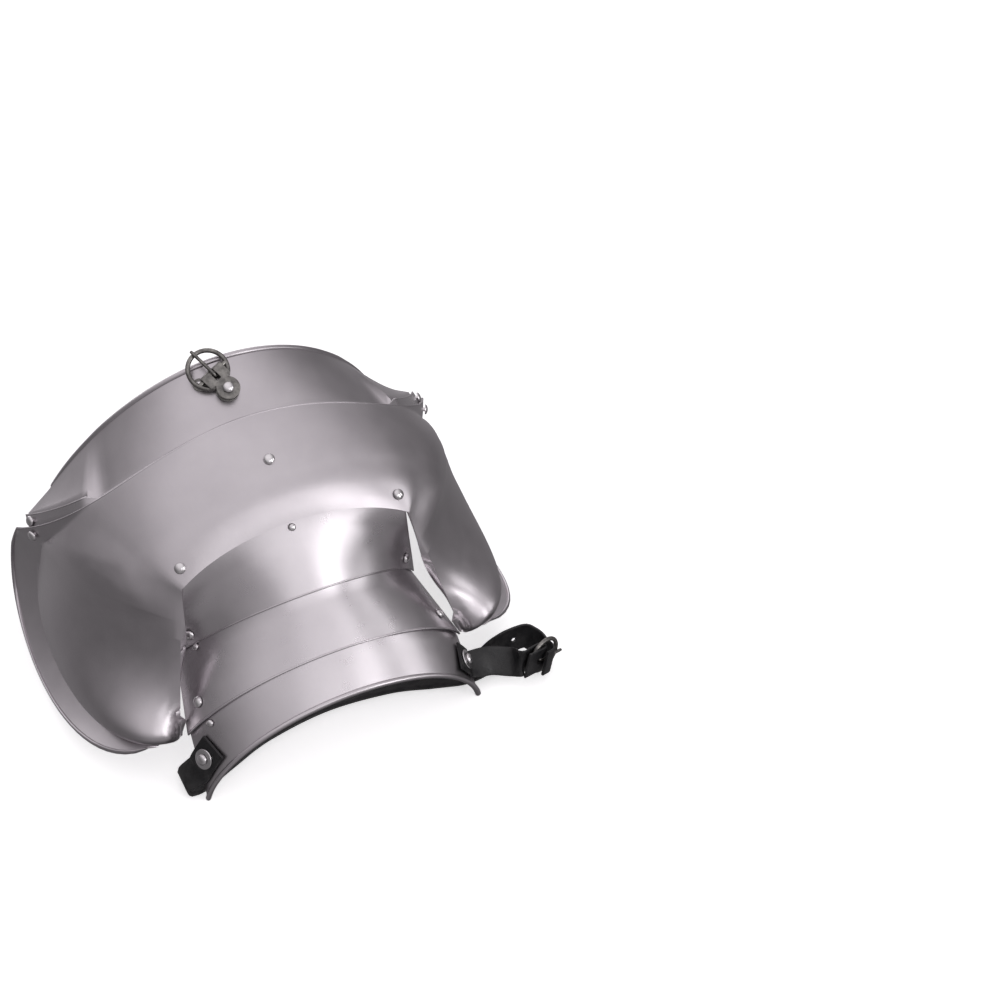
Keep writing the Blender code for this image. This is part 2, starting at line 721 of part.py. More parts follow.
# Pivot rivets of the arm lames: the sheet that holds the head, the share of the edge's half, the distance from it and
# how much higher the head sits on the curve.
Rivet = namedtuple("Rivet", "name sheet across back lift")
ARM_PIVOTS = [
    Rivet("plate_to_lame_1", 0, 0.8750, 0.0085, 0.0),
    Rivet("lame_1_to_2", 1, 0.8333, 0.0105, 0.0003),
    Rivet("lame_2_to_3", 2, 0.8333, 0.0115, 0.0),
]
NECK_RIVET_LIFT = 0.0006  # how much higher the heads of the neck rivets sit on the curve
NECK_RIVET_SLACK = 0.0006  # how much deeper the tails of the neck rivets lie
ARM_SHEETS = ["shoulder_plate", "arm_lame_1", "arm_lame_2", "arm_lame_3"]
NECK_PIVOT_ACROSS = 0.943
NECK_LAME_PIVOT_ACROSS = 0.940


def main():
    clear_scene()
    steel = material("polished_steel", (0.60, 0.58, 0.59), 1.0, 0.25)
    lame_steel = material("lame_steel", (0.62, 0.60, 0.61), 1.0, 0.22)
    rivet_steel = material("rivet_steel", (0.72, 0.71, 0.70), 1.0, 0.20)
    dark_steel = material("dark_steel", (0.20, 0.19, 0.18), 1.0, 0.42)
    leather = material("black_leather", (0.018, 0.017, 0.018), 0.0, 0.55)

    sheets = {"shoulder_plate": make_shoulder_plate(steel)}
    sheets["neck_lame"] = make_neck_lame(lame_steel)
    sheets["neck_plate"] = make_neck_plate(steel)
    sheets["arm_lame_1"] = make_lame("arm_lame_1", 1, False, lame_steel)
    sheets["arm_lame_2"] = make_lame("arm_lame_2", 2, False, lame_steel)
    sheets["arm_lame_3"] = make_lame("arm_lame_3", 3, True, lame_steel)
    holes = {name: [] for name in sheets}

    for side, end in ((-1, "front"), (1, "back")):
        for rivet in ARM_PIVOTS:
            point, normal = sheet_place(ARM_CHAIN, rivet.sheet, side * rivet.across, rivet.back)
            make_rivet(f"rivet_{rivet.name}_{end}", point, normal, WALL / 2 + rivet.lift, STEP, rivet_steel)
            for sheet in ARM_SHEETS[rivet.sheet : rivet.sheet + 2]:
                holes[sheet].append((point, normal))
        top = WALL / 2 + NECK_RIVET_LIFT
        depth = NECK_STEP + NECK_RIVET_SLACK
        point, normal = neck_place(side * NECK_PIVOT_ACROSS, PLATE_TO_NECK_INSIDE, 0.0)
        make_rivet(f"rivet_plate_to_neck_lame_{end}", point, normal, top, depth, rivet_steel)
        holes["shoulder_plate"].append((point, normal))
        holes["neck_lame"].append((point, normal))
        point, normal = neck_lame_place(side * NECK_LAME_PIVOT_ACROSS, NECK_LAME_RIVET_BACK, 0.0)
        make_rivet(f"rivet_neck_lame_to_plate_{end}", point, normal, top, depth, rivet_steel)
        holes["neck_lame"].append((point, normal))
        holes["neck_plate"].append((point, normal))

    point, normal = sheet_place(ARM_CHAIN, 0, 0.0, CENTRE_RIVET_BACK)
    make_rivet("rivet_centre", point, normal, WALL / 2, 0.0, rivet_steel)
    holes["shoulder_plate"].append((point, normal))
    for name, sheet, across in (("crown", 1, 0.0), ("side_upper", 2, -0.78), ("side_lower", 3, -0.78)):
        shown = sheet_shown(ARM_CHAIN, sheet, across)
        point, normal = sheet_place(ARM_CHAIN, sheet, across, shown - SEAM_HEAD_RADIUS - 1.4 * WALL)
        make_rivet(f"rivet_{name}", point, normal, WALL / 2 + SEAT_GAP, 0.0, rivet_steel, SEAM_HEAD_RADIUS)
        holes[ARM_SHEETS[sheet]].append((point, normal))

    bar = add_neck_buckle(holes, dark_steel, rivet_steel)
    add_arm_strap(holes, leather, dark_steel, rivet_steel)
    for name, sheet in sheets.items():
        drill(sheet, holes[name])
    shift = Matrix.Translation((0.0, MIDDLE_SHIFT, 0.0))
    for made in bpy.data.objects:
        made.matrix_world = shift @ made.matrix_world
    hang_moving_pieces(shift @ bar)


# Moving pieces: each group turns about an empty on its pivots, which hangs from the group before it. The pivots are
# given by the name that their two rivets share.
Group = namedtuple("Group", "name holder pivot pieces")
GROUPS = [
    Group("arm_lame_1_pivot", None, "plate_to_lame_1", ["arm_lame_1", "rivet_lame_1_to_2_*", "rivet_crown"]),
    Group(
        "arm_lame_2_pivot",
        "arm_lame_1_pivot",
        "lame_1_to_2",
        ["arm_lame_2", "rivet_lame_2_to_3_*", "rivet_side_upper"],
    ),
    Group(
        "arm_lame_3_pivot",
        "arm_lame_2_pivot",
        "lame_2_to_3",
        ["arm_lame_3", "rivet_side_lower", "rivet_strap_*", "washer_*", "arm_strap", "buckle_strap"]
        + ["arm_ring", "arm_prong"],
    ),
    Group("neck_lame_pivot", None, "plate_to_neck_lame", ["neck_lame", "rivet_neck_lame_to_plate_*"]),
    Group(
        "neck_plate_pivot",
        "neck_lame_pivot",
        "neck_lame_to_plate",
        ["neck_plate", "neck_buckle_plate", "neck_ring", "rivet_neck_buckle", "rivet_neck", "washer_neck"],
    ),
]


def add_empty(name, place, holder):
    empty = bpy.data.objects.new(name, None)
    empty.empty_display_size = 0.01
    bpy.context.scene.collection.objects.link(empty)
    hang(empty, holder)
    empty.matrix_world = place
    return empty


def hang(piece, holder):
    """Parents a piece and keeps it where it is."""
    here = piece.matrix_world.copy()
    if holder:
        bpy.context.view_layer.update()
        piece.parent = holder
        piece.matrix_parent_inverse = holder.matrix_world.inverted()
    piece.matrix_world = here


def hang_moving_pieces(bar):
    """Adds the empties on the pivots and on the neck buckle's bar, and hangs the moving pieces from them."""
    bpy.context.view_layer.update()
    empties = {None: None}
    for group in GROUPS:
        ends = [bpy.data.objects[f"rivet_{group.pivot}_{end}"].matrix_world.translation for end in ("front", "back")]
        place = Matrix.Translation((ends[0] + ends[1]) / 2)
        empties[group.name] = add_empty(group.name, place, empties[group.holder])
        for wanted in group.pieces:
            names = [wanted.replace("*", end) for end in ("front", "back")] if "*" in wanted else [wanted]
            for name in names:
                hang(bpy.data.objects[name], empties[group.name])
    hang(bpy.data.objects["neck_prong"], add_empty("neck_prong_pivot", bar, empties["neck_plate_pivot"]))


def add_neck_buckle(holes, look, rivet_look):
    """Buckle plate, ring and prong on the neck plate, turned a little to the front. It returns the bar's frame."""
    across = NECK_BUCKLE_ACROSS
    point, normal = neck_plate_place(across, NECK_BUCKLE_SHARE)
    to_edge = neck_plate_place(across, 1.0)[0] - point
    turn = Matrix.Rotation(radians(NECK_BUCKLE_TURN), 3, Vector(normal))
    heading = turn @ Vector(to_edge)
    lift = WALL / 2 + 2 * SEAT_GAP + 2 * PRONG_RADIUS + WIRE_RADIUS
    seat = frame(Vector(point) + Vector(normal) * lift, heading, normal)
    bar = seat @ Matrix.Translation((LOBE_TO_BAR, 0, 0))
    plate = make_buckle_plate("neck_buckle_plate", bar, look)
    tilted = bar @ Matrix.Rotation(radians(-NECK_RING_TILT), 4, "Y")
    make_ring("neck_ring", tilted, look)
    make_prong("neck_prong", tilted, look)
    loop = WIRE_RADIUS + SEAT_GAP + BUCKLE_SHEET / 2
    top = lift + loop + BUCKLE_SHEET / 2
    make_rivet("rivet_neck_buckle", point, normal, top, 0.0, rivet_look)
    drill(plate, [(point, normal)], 0.02)
    holes["neck_plate"].append((point, normal))
    point, normal = neck_plate_place(SPARE_RIVET_ACROSS, SPARE_RIVET_SHARE)
    low = WALL / 2 + SEAT_GAP
    add_washer("neck", point, normal, low, SPARE_WASHER_RADIUS, SPARE_WASHER_THICK, look)
    make_rivet("rivet_neck", point, normal, low + SPARE_WASHER_THICK, 0.0, rivet_look, SPARE_HEAD_RADIUS)
    holes["neck_plate"].append((point, normal))
    return tilted


def add_arm_strap(holes, look, ring_look, rivet_look):
    """The long strap runs from the front end of the last lame over the table, through the ring and back."""
    bar = frame(scaled(ARM_RING_AT), ARM_RING_ALONG, ARM_RING_FACE)
    upright = np.array(tuple(bar.to_3x3() @ Vector((0, 1, 0))))
    stack = WALL / 2 + 3 * SEAT_GAP
    anchors = {}
    for side, end in ((-1, "front"), (1, "back")):
        across = side * STRAP_RIVET_ACROSS
        point, normal = sheet_place(ARM_CHAIN, 3, across, STRAP_RIVET_BACK)
        down = unit(sheet_point(ARM_CHAIN, 3, across + side * 0.01, STRAP_RIVET_BACK) - point)
        anchors[end] = (point, normal, down, np.cross(normal, down) * side)
        holes["arm_lame_3"].append((point, normal))

    point, normal, down, wide = anchors["front"]
    on = point + normal * (stack + STRAP_THICK / 2)
    rows = []
    for step in (-1.0, -0.5, 0.0, 0.5, 1.0):
        rows.append([*(on + down * step * 0.011 - normal * 0.0006 * step * step), *wide])
    for row in STRAP_TURN:
        rows.append([*scaled(row), 0.0, 1.0, 0.0])
    for row, ahead in zip(STRAP_RUN, STRAP_RUN[1:] + STRAP_RISE[:1]):
        run = scaled(ahead) - scaled(row)
        rows.append([*scaled(row), *unit([-run[1], run[0], 0.0])])
    for row in STRAP_RISE:
        rows.append([*scaled(row), *(np.array([0.0, 1.0, 0.0]) * (1 - row.upright) + upright * row.upright)])
    for x, z in STRAP_THROUGH:
        rows.append([*placed(bar, [(x * RING_RADIUS, 0, z * RING_RADIUS)])[0], *upright])
    route = smooth_route(rows, STRAP_STEPS)
    strap = ribbon("arm_strap", route[:, :3], route[:, 3:], STRAP_WIDTH, STRAP_THICK, look)
    through = placed(bar, [(0.58 * RING_RADIUS, 0, WIRE_RADIUS + SEAT_GAP + PRONG_RADIUS)])[0]
    punched = [(through, tuple(bar.to_3x3() @ Vector((1, 0, 0)))), (point, normal)]
    heading = unit(np.gradient(route[:, :3], axis=0))
    face = np.cross(heading, unit(route[:, 3:]))
    for share in STRAP_HOLES:
        i = int(share * STRAP_STEPS)
        punched.append((route[i, :3], face[i]))
    drill(strap, punched, 0.004)
    add_washer_rivet("front", point, normal, stack + STRAP_THICK, rivet_look)

    point, normal, down, wide = anchors["back"]
    on = point + normal * (stack + TAB_THICK / 2)
    rows = []
    for step in (-0.8, -0.4, 0.0, 0.4, 0.8):
        rows.append([*(on + down * step * 0.011 - normal * 0.0006 * step * step), *wide])
    for row in TAB_RUN:
        rows.append([*scaled(row), *(0.5 * wide + 0.5 * upright)])
    loop = WIRE_RADIUS + SEAT_GAP + TAB_THICK / 2
    flat = [(-1.25, -1.0), (-0.8, -1.0), (-0.4, -1.0)]
    flat += [(0.0, -1.0), (0.707, -0.707), (1.0, 0.0), (0.707, 0.707), (0.0, 1.0)]
    flat += [(-0.8, 1.0), (-1.25, 1.0)]
    for x, z in flat:
        far = RING_RADIUS if x < 0 else loop
        rows.append([*placed(bar, [(x * far, 0, z * loop)])[0], *upright])
    route = smooth_route(rows, TAB_STEPS)
    tab = ribbon("buckle_strap", route[:, :3], route[:, 3:], STRAP_WIDTH, TAB_THICK, look)
    half = PRONG_RADIUS + 2.5 * SEAT_GAP
    cut_box(tab, (-0.5 * RING_RADIUS, -half, -0.01), (0.01, half, 0.01), bar)
    drill(tab, [(point, normal)], 0.004)
    add_washer_rivet("back", point, normal, stack + TAB_THICK, rivet_look)
    make_ring("arm_ring", bar, ring_look)
    make_prong("arm_prong", bar, ring_look)


def add_washer_rivet(end, point, normal, height, look):
    """A washer and a rivet over a strap, the strap's outer face at this height."""
    low = height + SEAT_GAP
    add_washer(end, point, normal, low, WASHER_RADIUS, WASHER_THICK, look)
    make_rivet(f"rivet_strap_{end}", point, normal, low + WASHER_THICK, 0.0, look)


def add_washer(end, point, normal, low, radius, thick, look):
    high = low + thick
    hole = SHANK_RADIUS + SEAT_GAP
    profile = [(radius * 0.93, high), (radius, low), (hole, low), (hole, high)]
    points = []
    faces = []
    for reach, level in profile:
        for k in range(WASHER_SIDES):
            angle = 2 * pi * k / WASHER_SIDES
            points.append((reach * cos(angle), reach * sin(angle), level))
    for ring in range(4):
        this = ring * WASHER_SIDES
        then = (ring + 1) % 4 * WASHER_SIDES
        for k in range(WASHER_SIDES):
            after = (k + 1) % WASHER_SIDES
            faces.append((this + k, this + after, then + after, then + k))
    stand(add_solid(f"washer_{end}", points, faces, look), point, normal)


main()
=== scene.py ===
"""Looks of the steel pauldron: fine sheets, rivets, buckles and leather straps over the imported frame,
with a soft studio round them. Each form follows the same sizes as the solids; the shoulder plate is
smoothed a little more than they are. Units are metres."""
import json
from collections import namedtuple
from math import cos, pi, radians, sin

import bmesh
import bpy
import numpy as np
from mathutils import Matrix, Vector


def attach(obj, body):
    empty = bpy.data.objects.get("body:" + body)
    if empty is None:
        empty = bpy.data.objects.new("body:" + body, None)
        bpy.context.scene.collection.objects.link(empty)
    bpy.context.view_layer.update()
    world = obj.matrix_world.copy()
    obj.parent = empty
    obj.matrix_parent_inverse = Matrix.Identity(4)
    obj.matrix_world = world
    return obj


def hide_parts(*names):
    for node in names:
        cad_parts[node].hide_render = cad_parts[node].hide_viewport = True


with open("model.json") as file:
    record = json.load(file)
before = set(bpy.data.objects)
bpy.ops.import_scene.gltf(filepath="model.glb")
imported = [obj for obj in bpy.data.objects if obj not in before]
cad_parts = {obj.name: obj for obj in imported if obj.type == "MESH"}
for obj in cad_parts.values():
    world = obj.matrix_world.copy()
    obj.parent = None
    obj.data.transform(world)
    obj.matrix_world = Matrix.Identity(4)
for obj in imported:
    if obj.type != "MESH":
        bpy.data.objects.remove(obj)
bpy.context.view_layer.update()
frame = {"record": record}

# Driving sizes
SPAN = 0.190  # arm opening, from front to back
DEPTH = 0.168  # from the crown of the arm edge to the crown of the neck edge, measured level
HEIGHT = 0.205  # crown of the neck edge above the table
WALL = 0.0014  # steel sheet
LAME_GAP = 0.0008  # clearance between sheets that slide over each other
SEAT_GAP = 0.0003  # clearance between pieces that touch
OVERLAP = 0.014  # how far a sheet reaches under its neighbour
ROLL_RADIUS = 0.0020  # rolled edges
ROLL_GROWS = 0.04  # stretch of rays, past the start of the wing, over which the roll grows
FLANGE = 0.006  # turned-in strip beside the cut-out
LIP = 0.0006  # how far the cut-out's edge reaches where no flange is turned in
HEAD_RADIUS = 0.0036  # rivet heads
HEAD_RISE = 0.0021
HEAD_RIM = 0.00012  # flat edge under the head's dome
SHANK_RADIUS = 0.0014
TAIL_RADIUS = 0.0026
TAIL_RISE = 0.0010
RIVET_HOLE = SHANK_RADIUS + SEAT_GAP
SEAM_HEAD_RADIUS = 0.0024  # the small rivets beside the lames' seams
NECK_END = 0.960  # where neck lame and neck plate end, as a share of the shoulder plate's upper edge
NECK_LAME_BEND = 0.35  # how far the neck lame's ends turn to their corners
NECK_LAME_CROWN = 0.0022  # how much of the neck lame shows at its crown, and how much more at its flanks
NECK_LAME_FLANK = 0.0080
NECK_LAME_TAPER = 0.35  # share of its overlap that is lost at its ends
NECK_OVERLAP = 0.0110  # how far the neck plate reaches under the neck lame
PLATE_TO_NECK_INSIDE = 0.0050  # from the shoulder plate's edge to its rivets
NECK_LAME_RIVET_BACK = 0.0040  # from the neck lame's edge to its rivets
STRAP_WIDTH = 0.0195
STRAP_THICK = 0.0020
WASHER_RADIUS = 0.0067
WASHER_THICK = 0.0008
RING_RADIUS = 0.0125  # middle of the wire of both buckles' rings
WIRE_RADIUS = 0.0015
BAR_OFFSET = 0.0040  # from a ring's middle to its bar
PRONG_RADIUS = 0.0011
BUCKLE_SHEET = 0.0012
LOBE_RADIUS = 0.0075
LOBE_TO_BAR = 0.0135
TAB_THICK = 0.0016  # the short strap that holds the arm strap's buckle
PRONG_LOOP = WIRE_RADIUS + SEAT_GAP + PRONG_RADIUS  # middles of what bends round a ring's bar
SHEET_LOOP = WIRE_RADIUS + SEAT_GAP + BUCKLE_SHEET / 2
TAB_LOOP = WIRE_RADIUS + SEAT_GAP + TAB_THICK / 2
PRONG_SLOT = PRONG_RADIUS + 2.5 * SEAT_GAP  # half the width of the slots that prongs stand in
MIDDLE_SHIFT = 0.0099  # puts the origin under the middle of the whole object
STEP = WALL + LAME_GAP
NECK_STEP = STEP * 1.2
THIN_EDGE = WALL * 0.55  # radius of an edge that isn't rolled
LAME_FLARE = 0.00035  # how far the first lame's free edge stands out, to clear the swinging second
FLARE_SHARES = (0.25, 0.6, 1.0)  # of it, in the last rows before the edge

# Edges of the sheets, each a symmetric arch. The crown's y and the ends' way back are shares of DEPTH,
# the crown's height and the ends' drop are shares of HEIGHT, and half the chord is a share of SPAN. The
# turn is how far the arch bends from its crown to an end, in degrees, and sway pulls its flanks forward.
Edge = namedtuple("Edge", "crown_y crown_z half back drop turn sway")
EDGES = {
    "neck": Edge(0.250, 1.000, 0.611, 0.250, 0.459, 50, 0.0),
    "plate_top": Edge(0.024, 0.907, 0.768, 0.369, 0.410, 50, -0.107),
    "cut_out": Edge(-0.315, 0.702, 0.400, -0.042, 0.088, 50, 0.0),
    "lame_1": Edge(-0.470, 0.517, 0.442, 0.202, 0.239, 70, 0.0),
    "lame_2": Edge(-0.637, 0.380, 0.498, 0.089, 0.210, 70, 0.0),
    "lame_3": Edge(-0.750, 0.283, 0.500, 0.048, 0.2685, 80, 0.0),
}
ARM_CHAIN = ["cut_out", "lame_1", "lame_2", "lame_3"]

# The wing's rolled edge is a cubic curve from the end of plate_top to the tip, and the cut-out's side is
# a straight line from the end of cut_out to the tip: x as shares of SPAN, y of DEPTH, z of HEIGHT.
Point = namedtuple("Point", "x y z")
WING_BACK = Point(0.758, 1.327, -0.366)
WING_FRONT = Point(1.016, -0.708, 0.185)
WING_TIP = Point(0.558, -0.512, 0.151)
NECK_LAME_CORNER = Point(0.700, 0.429, 0.483)
SIDE_TIP = Point(0.526, -0.524, 0.146)

# Rays cross the shoulder plate from the cut-out to its outer edge. At = place of the ray, 0 at the crown
# and 1 at the tip; bulge = outward swell as a share of HEIGHT; rim = flat outer strip as a share of the
# ray; flange = share of FLANGE that is turned in beside the cut-out.
Ray = namedtuple("Ray", "at bulge rim flange")
RAY_BLEND = 0.24  # reach over which rays' ends are averaged at the crown; none is left at the tips
BLEND_FROM = 0.12  # where along a ray the averaging of outer ends sets in, and over which length
BLEND_OVER = 0.30
BLEND_STEPS = ((-1.0, 1 / 9), (-0.5, 2 / 9), (0.0, 3 / 9), (0.5, 2 / 9), (1.0, 1 / 9))
RAYS = [
    Ray(0.00, 0.030, 0.00, 0.0),
    Ray(0.30, 0.045, 0.00, 0.0),
    Ray(0.45, 0.110, 0.16, 0.3),
    Ray(0.60, 0.150, 0.17, 0.8),
    Ray(0.80, 0.120, 0.26, 1.0),
    Ray(1.00, 0.010, 0.30, 0.3),
]
RAY_AT_CORNER = 0.30  # where the inner end of a ray turns from cut_out to the cut-out's side
RAY_AT_WING = 0.45  # where the outer end of a ray turns from plate_top to the wing
PLATE_REACH = 0.16  # rough length of a ray, for a first guess
DOME_CORE = Point(0.0, 0.0, 0.15)  # the swell points away from here
SWELL_POWER = 0.85  # below 1, the swell rises steeply beside its ends and is flat in the middle
NUDGE = 1e-3  # step for slopes, as a share of an edge or a ray
NORMAL_ACROSS = 0.03  # larger steps for the arm lames' normals, which are handed on from sheet to sheet
NORMAL_BACK = 0.002  # in metres

# Neck buckle: where its rivet stands on the neck plate and how far it turns to the front
NECK_BUCKLE_ACROSS = -0.04
NECK_BUCKLE_SHARE = 0.50
NECK_BUCKLE_TURN = 27
NECK_RING_TILT = 1
SPARE_RIVET_ACROSS = -0.146  # the small rivet beside the neck buckle, on a thin washer of dark steel whose dark tone is partly painted shade of the ring
SPARE_RIVET_SHARE = 0.75
SPARE_HEAD_RADIUS = 0.0021
SPARE_WASHER_RADIUS = 0.0042
SPARE_WASHER_THICK = 0.0005

CENTRE_RIVET_BACK = 0.041
STRAP_RIVET_ACROSS = 0.875
STRAP_RIVET_BACK = 0.0165
STRAP_STACK = WALL / 2 + 3 * SEAT_GAP  # from the last lame's middle to the underside of a strap
STRAP_LAP = 0.011  # how far a strap lies on the lame, each way from its rivet
STRAP_SAG = 0.0006  # how far it bends towards the lame there

# The arm strap's route: x as shares of SPAN, y of DEPTH, z of HEIGHT. It turns under at the table, runs
# over it, rises and goes through the ring, whose rows are shares of RING_RADIUS in the ring's own frame.
STRAP_TURN = [Point(-0.550, -0.616, 0.042), Point(-0.553, -0.618, 0.022), Point(-0.540, -0.618, 0.008)]
STRAP_RUN = [
    Point(-0.500, -0.612, 0.0054),
    Point(-0.395, -0.560, 0.0054),
    Point(-0.237, -0.495, 0.0054),
    Point(0.000, -0.460, 0.0054),
    Point(0.237, -0.490, 0.0054),
    Point(0.395, -0.550, 0.0054),
    Point(0.500, -0.590, 0.0100),
]
Rise = namedtuple("Rise", "x y z upright")
STRAP_RISE = [
    Rise(0.600, -0.590, 0.034, 0.30),
    Rise(0.680, -0.568, 0.054, 0.80),
    Rise(0.745, -0.572, 0.062, 1.00),
]
STRAP_THROUGH = [(0.90, -1.28), (0.88, -0.75), (0.66, -0.20), (0.58, 0.23), (0.35, 0.55), (-0.25, 0.60)]
STRAP_AT_PRONG = 0.58  # where the strap passes the prong, as a share of RING_RADIUS
STRAP_HOLES = (0.80, 0.86)  # as shares of the strap's length
TAB_RUN = [Point(0.575, -0.655, 0.085), Point(0.640, -0.690, 0.077)]
# The short strap's way round the bar: x before the bar as shares of RING_RADIUS, the rest of TAB_LOOP
TAB_ROUND = [(-1.25, -1.0), (-0.8, -1.0), (-0.4, -1.0), (0.0, -1.0), (0.707, -0.707)]
TAB_ROUND += [(1.0, 0.0), (0.707, 0.707), (0.0, 1.0), (-0.8, 1.0), (-1.25, 1.0)]
ARM_RING_AT = Point(0.742, -0.715, 0.0748)  # middle of the bar
ARM_RING_ALONG = (0.85, 0.30, -0.25)
ARM_RING_FACE = (0.33, -0.94, 0.0)

# Pivot rivets of the arm lames: the sheet that holds the head, the share of its edge's half, the distance
# from the edge and how much higher the head sits on the curve.
Rivet = namedtuple("Rivet", "name sheet across back lift")
ARM_PIVOTS = [
    Rivet("plate_to_lame_1", 0, 0.8750, 0.0085, 0.0),
    Rivet("lame_1_to_2", 1, 0.8333, 0.0105, 0.0003),
    Rivet("lame_2_to_3", 2, 0.8333, 0.0115, 0.0),
]
SEAM_MARGIN = 1.4 * WALL  # between a seam and the heads beside it
SEAM_RIVETS = [("crown", 1, 0.0), ("side_upper", 2, -0.78), ("side_lower", 3, -0.78)]
NECK_RIVET_LIFT = 0.0006  # how much higher the neck rivets' heads sit on the curve
NECK_RIVET_SLACK = 0.0006  # how much deeper their tails lie
NECK_PIVOT_ACROSS = 0.943
NECK_LAME_PIVOT_ACROSS = 0.940

# Finer steps than the solids have
NECK_HALF_STEPS = 36
WING_STEPS = 44
WING_CROWDING = 1.3  # above 1, the rays stand closer at the start of the wing
PLATE_STEPS = 20
ARCH_HALF_STEPS = 36
ROLL_STEPS = 13
PLAIN_STEPS = 7
RIVET_SIDES = 32
WIRE_SIDES = 16
RING_SIDES = 96
WASHER_SIDES = 48
PEG_SIDES = 24
STRAP_STEPS = 260
TAB_STEPS = 130
HEAD_ARCS = 9
CORNER_ARC = [(cos(a), sin(a)) for a in np.linspace(0, pi / 2, 4)]  # rounded corners of straps
BAND_ROWS = np.linspace(-1, 1, 9)[1:-1]  # rows across a strap's face
CUT_REACH = 0.004  # half the length of a cutter for a hole
ROLL_OUT = 0.9  # from the sheet's end to the bead's middle, as a share of its radius
ROLL_START = radians(140)  # where the bead of an edge leaves the sheet

TO_MIDDLE = Matrix.Translation((0.0, MIDDLE_SHIFT, 0.0))
BODIES = frame["record"]["behaviour"]["bodies"]
BODY_OF = {node: body for body, nodes in BODIES.items() for node in nodes}


def unit(vectors):
    vectors = np.asarray(vectors, float)
    return vectors / np.linalg.norm(vectors, axis=-1, keepdims=True)


def scaled(place):
    return np.array([place.x * SPAN, place.y * DEPTH, place.z * HEIGHT])


# Curves and surfaces of the sheets


def arch(name, across):
    """Point of an edge: across is -1 at the front end, 0 at the crown and 1 at the back end."""
    edge = EDGES[name]
    turn = radians(edge.turn)
    angle = across * turn
    fall = (1 - cos(angle)) / (1 - cos(turn))
    lean = 4 * fall * (1 - fall)
    x = edge.half * SPAN * sin(angle) / sin(turn)
    y = DEPTH * (edge.crown_y + edge.back * fall + edge.sway * lean)
    return np.array([x, y, HEIGHT * (edge.crown_z - edge.drop * fall)])


def mirrored(point, side):
    return point * np.array([side, 1.0, 1.0])


def ray_ends(at):
    """Inner and outer end of the ray at a place from -1 through 0 to 1."""
    side = -1.0 if at < 0 else 1.0
    at = abs(at)
    if at <= RAY_AT_CORNER:
        inner = arch("cut_out", at / RAY_AT_CORNER)
    else:
        along = (at - RAY_AT_CORNER) / (1 - RAY_AT_CORNER)
        inner = arch("cut_out", 1.0) * (1 - along) + scaled(SIDE_TIP) * along
    if at <= RAY_AT_WING:
        outer = arch("plate_top", at / RAY_AT_WING)
    else:
        t = (at - RAY_AT_WING) / (1 - RAY_AT_WING)
        poles = (arch("plate_top", 1.0), scaled(WING_BACK), scaled(WING_FRONT), scaled(WING_TIP))
        shares = ((1 - t) ** 3, 3 * t * (1 - t) ** 2, 3 * t * t * (1 - t), t**3)
        outer = sum(pole * share for pole, share in zip(poles, shares))
    return mirrored(inner, side), mirrored(outer, side)


def ease(share):
    share = min(max(share, 0.0), 1.0)
    return share * share * (3 - 2 * share)


def ray_form(at):
    """Bulge in metres, rim share and flange share of the ray, read from RAYS as one smooth curve."""
    at = abs(at)
    places = [ray.at for ray in RAYS]
    index = min(int(np.searchsorted(places, at, side="right")), len(RAYS) - 1) - 1
    low, high = RAYS[index], RAYS[index + 1]
    before, after = RAYS[max(index - 1, 0)], RAYS[min(index + 2, len(RAYS) - 1)]
    width = high.at - low.at
    t = (at - low.at) / width
    values = []
    for start, end, left, right in zip(low[1:], high[1:], before[1:], after[1:]):
        slope_low = (end - left) / (high.at - before.at) if index else 0.0
        slope_high = (right - start) / (after.at - low.at)
        value = start * (2 * t**3 - 3 * t**2 + 1) + end * (3 * t**2 - 2 * t**3)
        value += width * (slope_low * (t**3 - 2 * t**2 + t) + slope_high * (t**3 - t**2))
        values.append(max(value, 0.0))
    return values[0] * HEIGHT, values[1], values[2]


def plate_point(at, along):
    """Middle surface of the shoulder plate: along runs from 0 at the cut-out to 1 at the outer edge. Away
    from an edge that edge's corners are rounded off, as beaten sheet is."""
    fade = ease((along - BLEND_FROM) / BLEND_OVER)
    near = RAY_BLEND * (1 - abs(at)) * along
    far = RAY_BLEND * (1 - abs(at)) * (1 - along) * fade
    inner = sum(ray_ends(at + near * step)[0] * share for step, share in BLEND_STEPS)
    outer = sum(ray_ends(at + far * step)[1] * share for step, share in BLEND_STEPS)
    bulge, rim, _ = ray_form(at)
    chord = outer - inner
    heading = unit(chord)
    swell = (inner + outer) / 2 - scaled(DOME_CORE)
    swell = unit(swell - heading * np.dot(swell, heading))
    inside = 1 - rim
    rise = sin(pi * along / inside) if 0 < along < inside else 0.0
    return inner + chord * along + swell * bulge * rise**SWELL_POWER


def outward(point, normal):
    return normal if np.dot(normal, point - scaled(DOME_CORE)) > 0 else -normal


def slope_normal(tangent, slope, point):
    return outward(point, unit(np.cross(tangent, slope)))


def edge_tangent(name, across):
    return arch(name, across + NUDGE) - arch(name, across - NUDGE)


def plate_normal(at, along):
    low = along - NUDGE if along > 0.5 else along
    across = plate_point(min(at + NUDGE, 1.0), along) - plate_point(max(at - NUDGE, -1.0), along)
    down = plate_point(at, low + NUDGE) - plate_point(at, low)
    return slope_normal(across, down, plate_point(at, along))


def nearest_on_plate(target, at, along):
    """Place on the shoulder plate nearest to a target, found step by step from a first guess."""
    for _ in range(8):
        here = plate_point(at, along)
        beside = [plate_point(at + NUDGE, along), plate_point(at, along - NUDGE)]
        slopes = (np.array(beside) - here).T / NUDGE
        move = np.linalg.lstsq(slopes, target - here, rcond=None)[0]
        at = min(max(at + move[0], -0.98), 0.98)
        along = min(max(along - move[1], 0.1), 1.0)
    return at, along


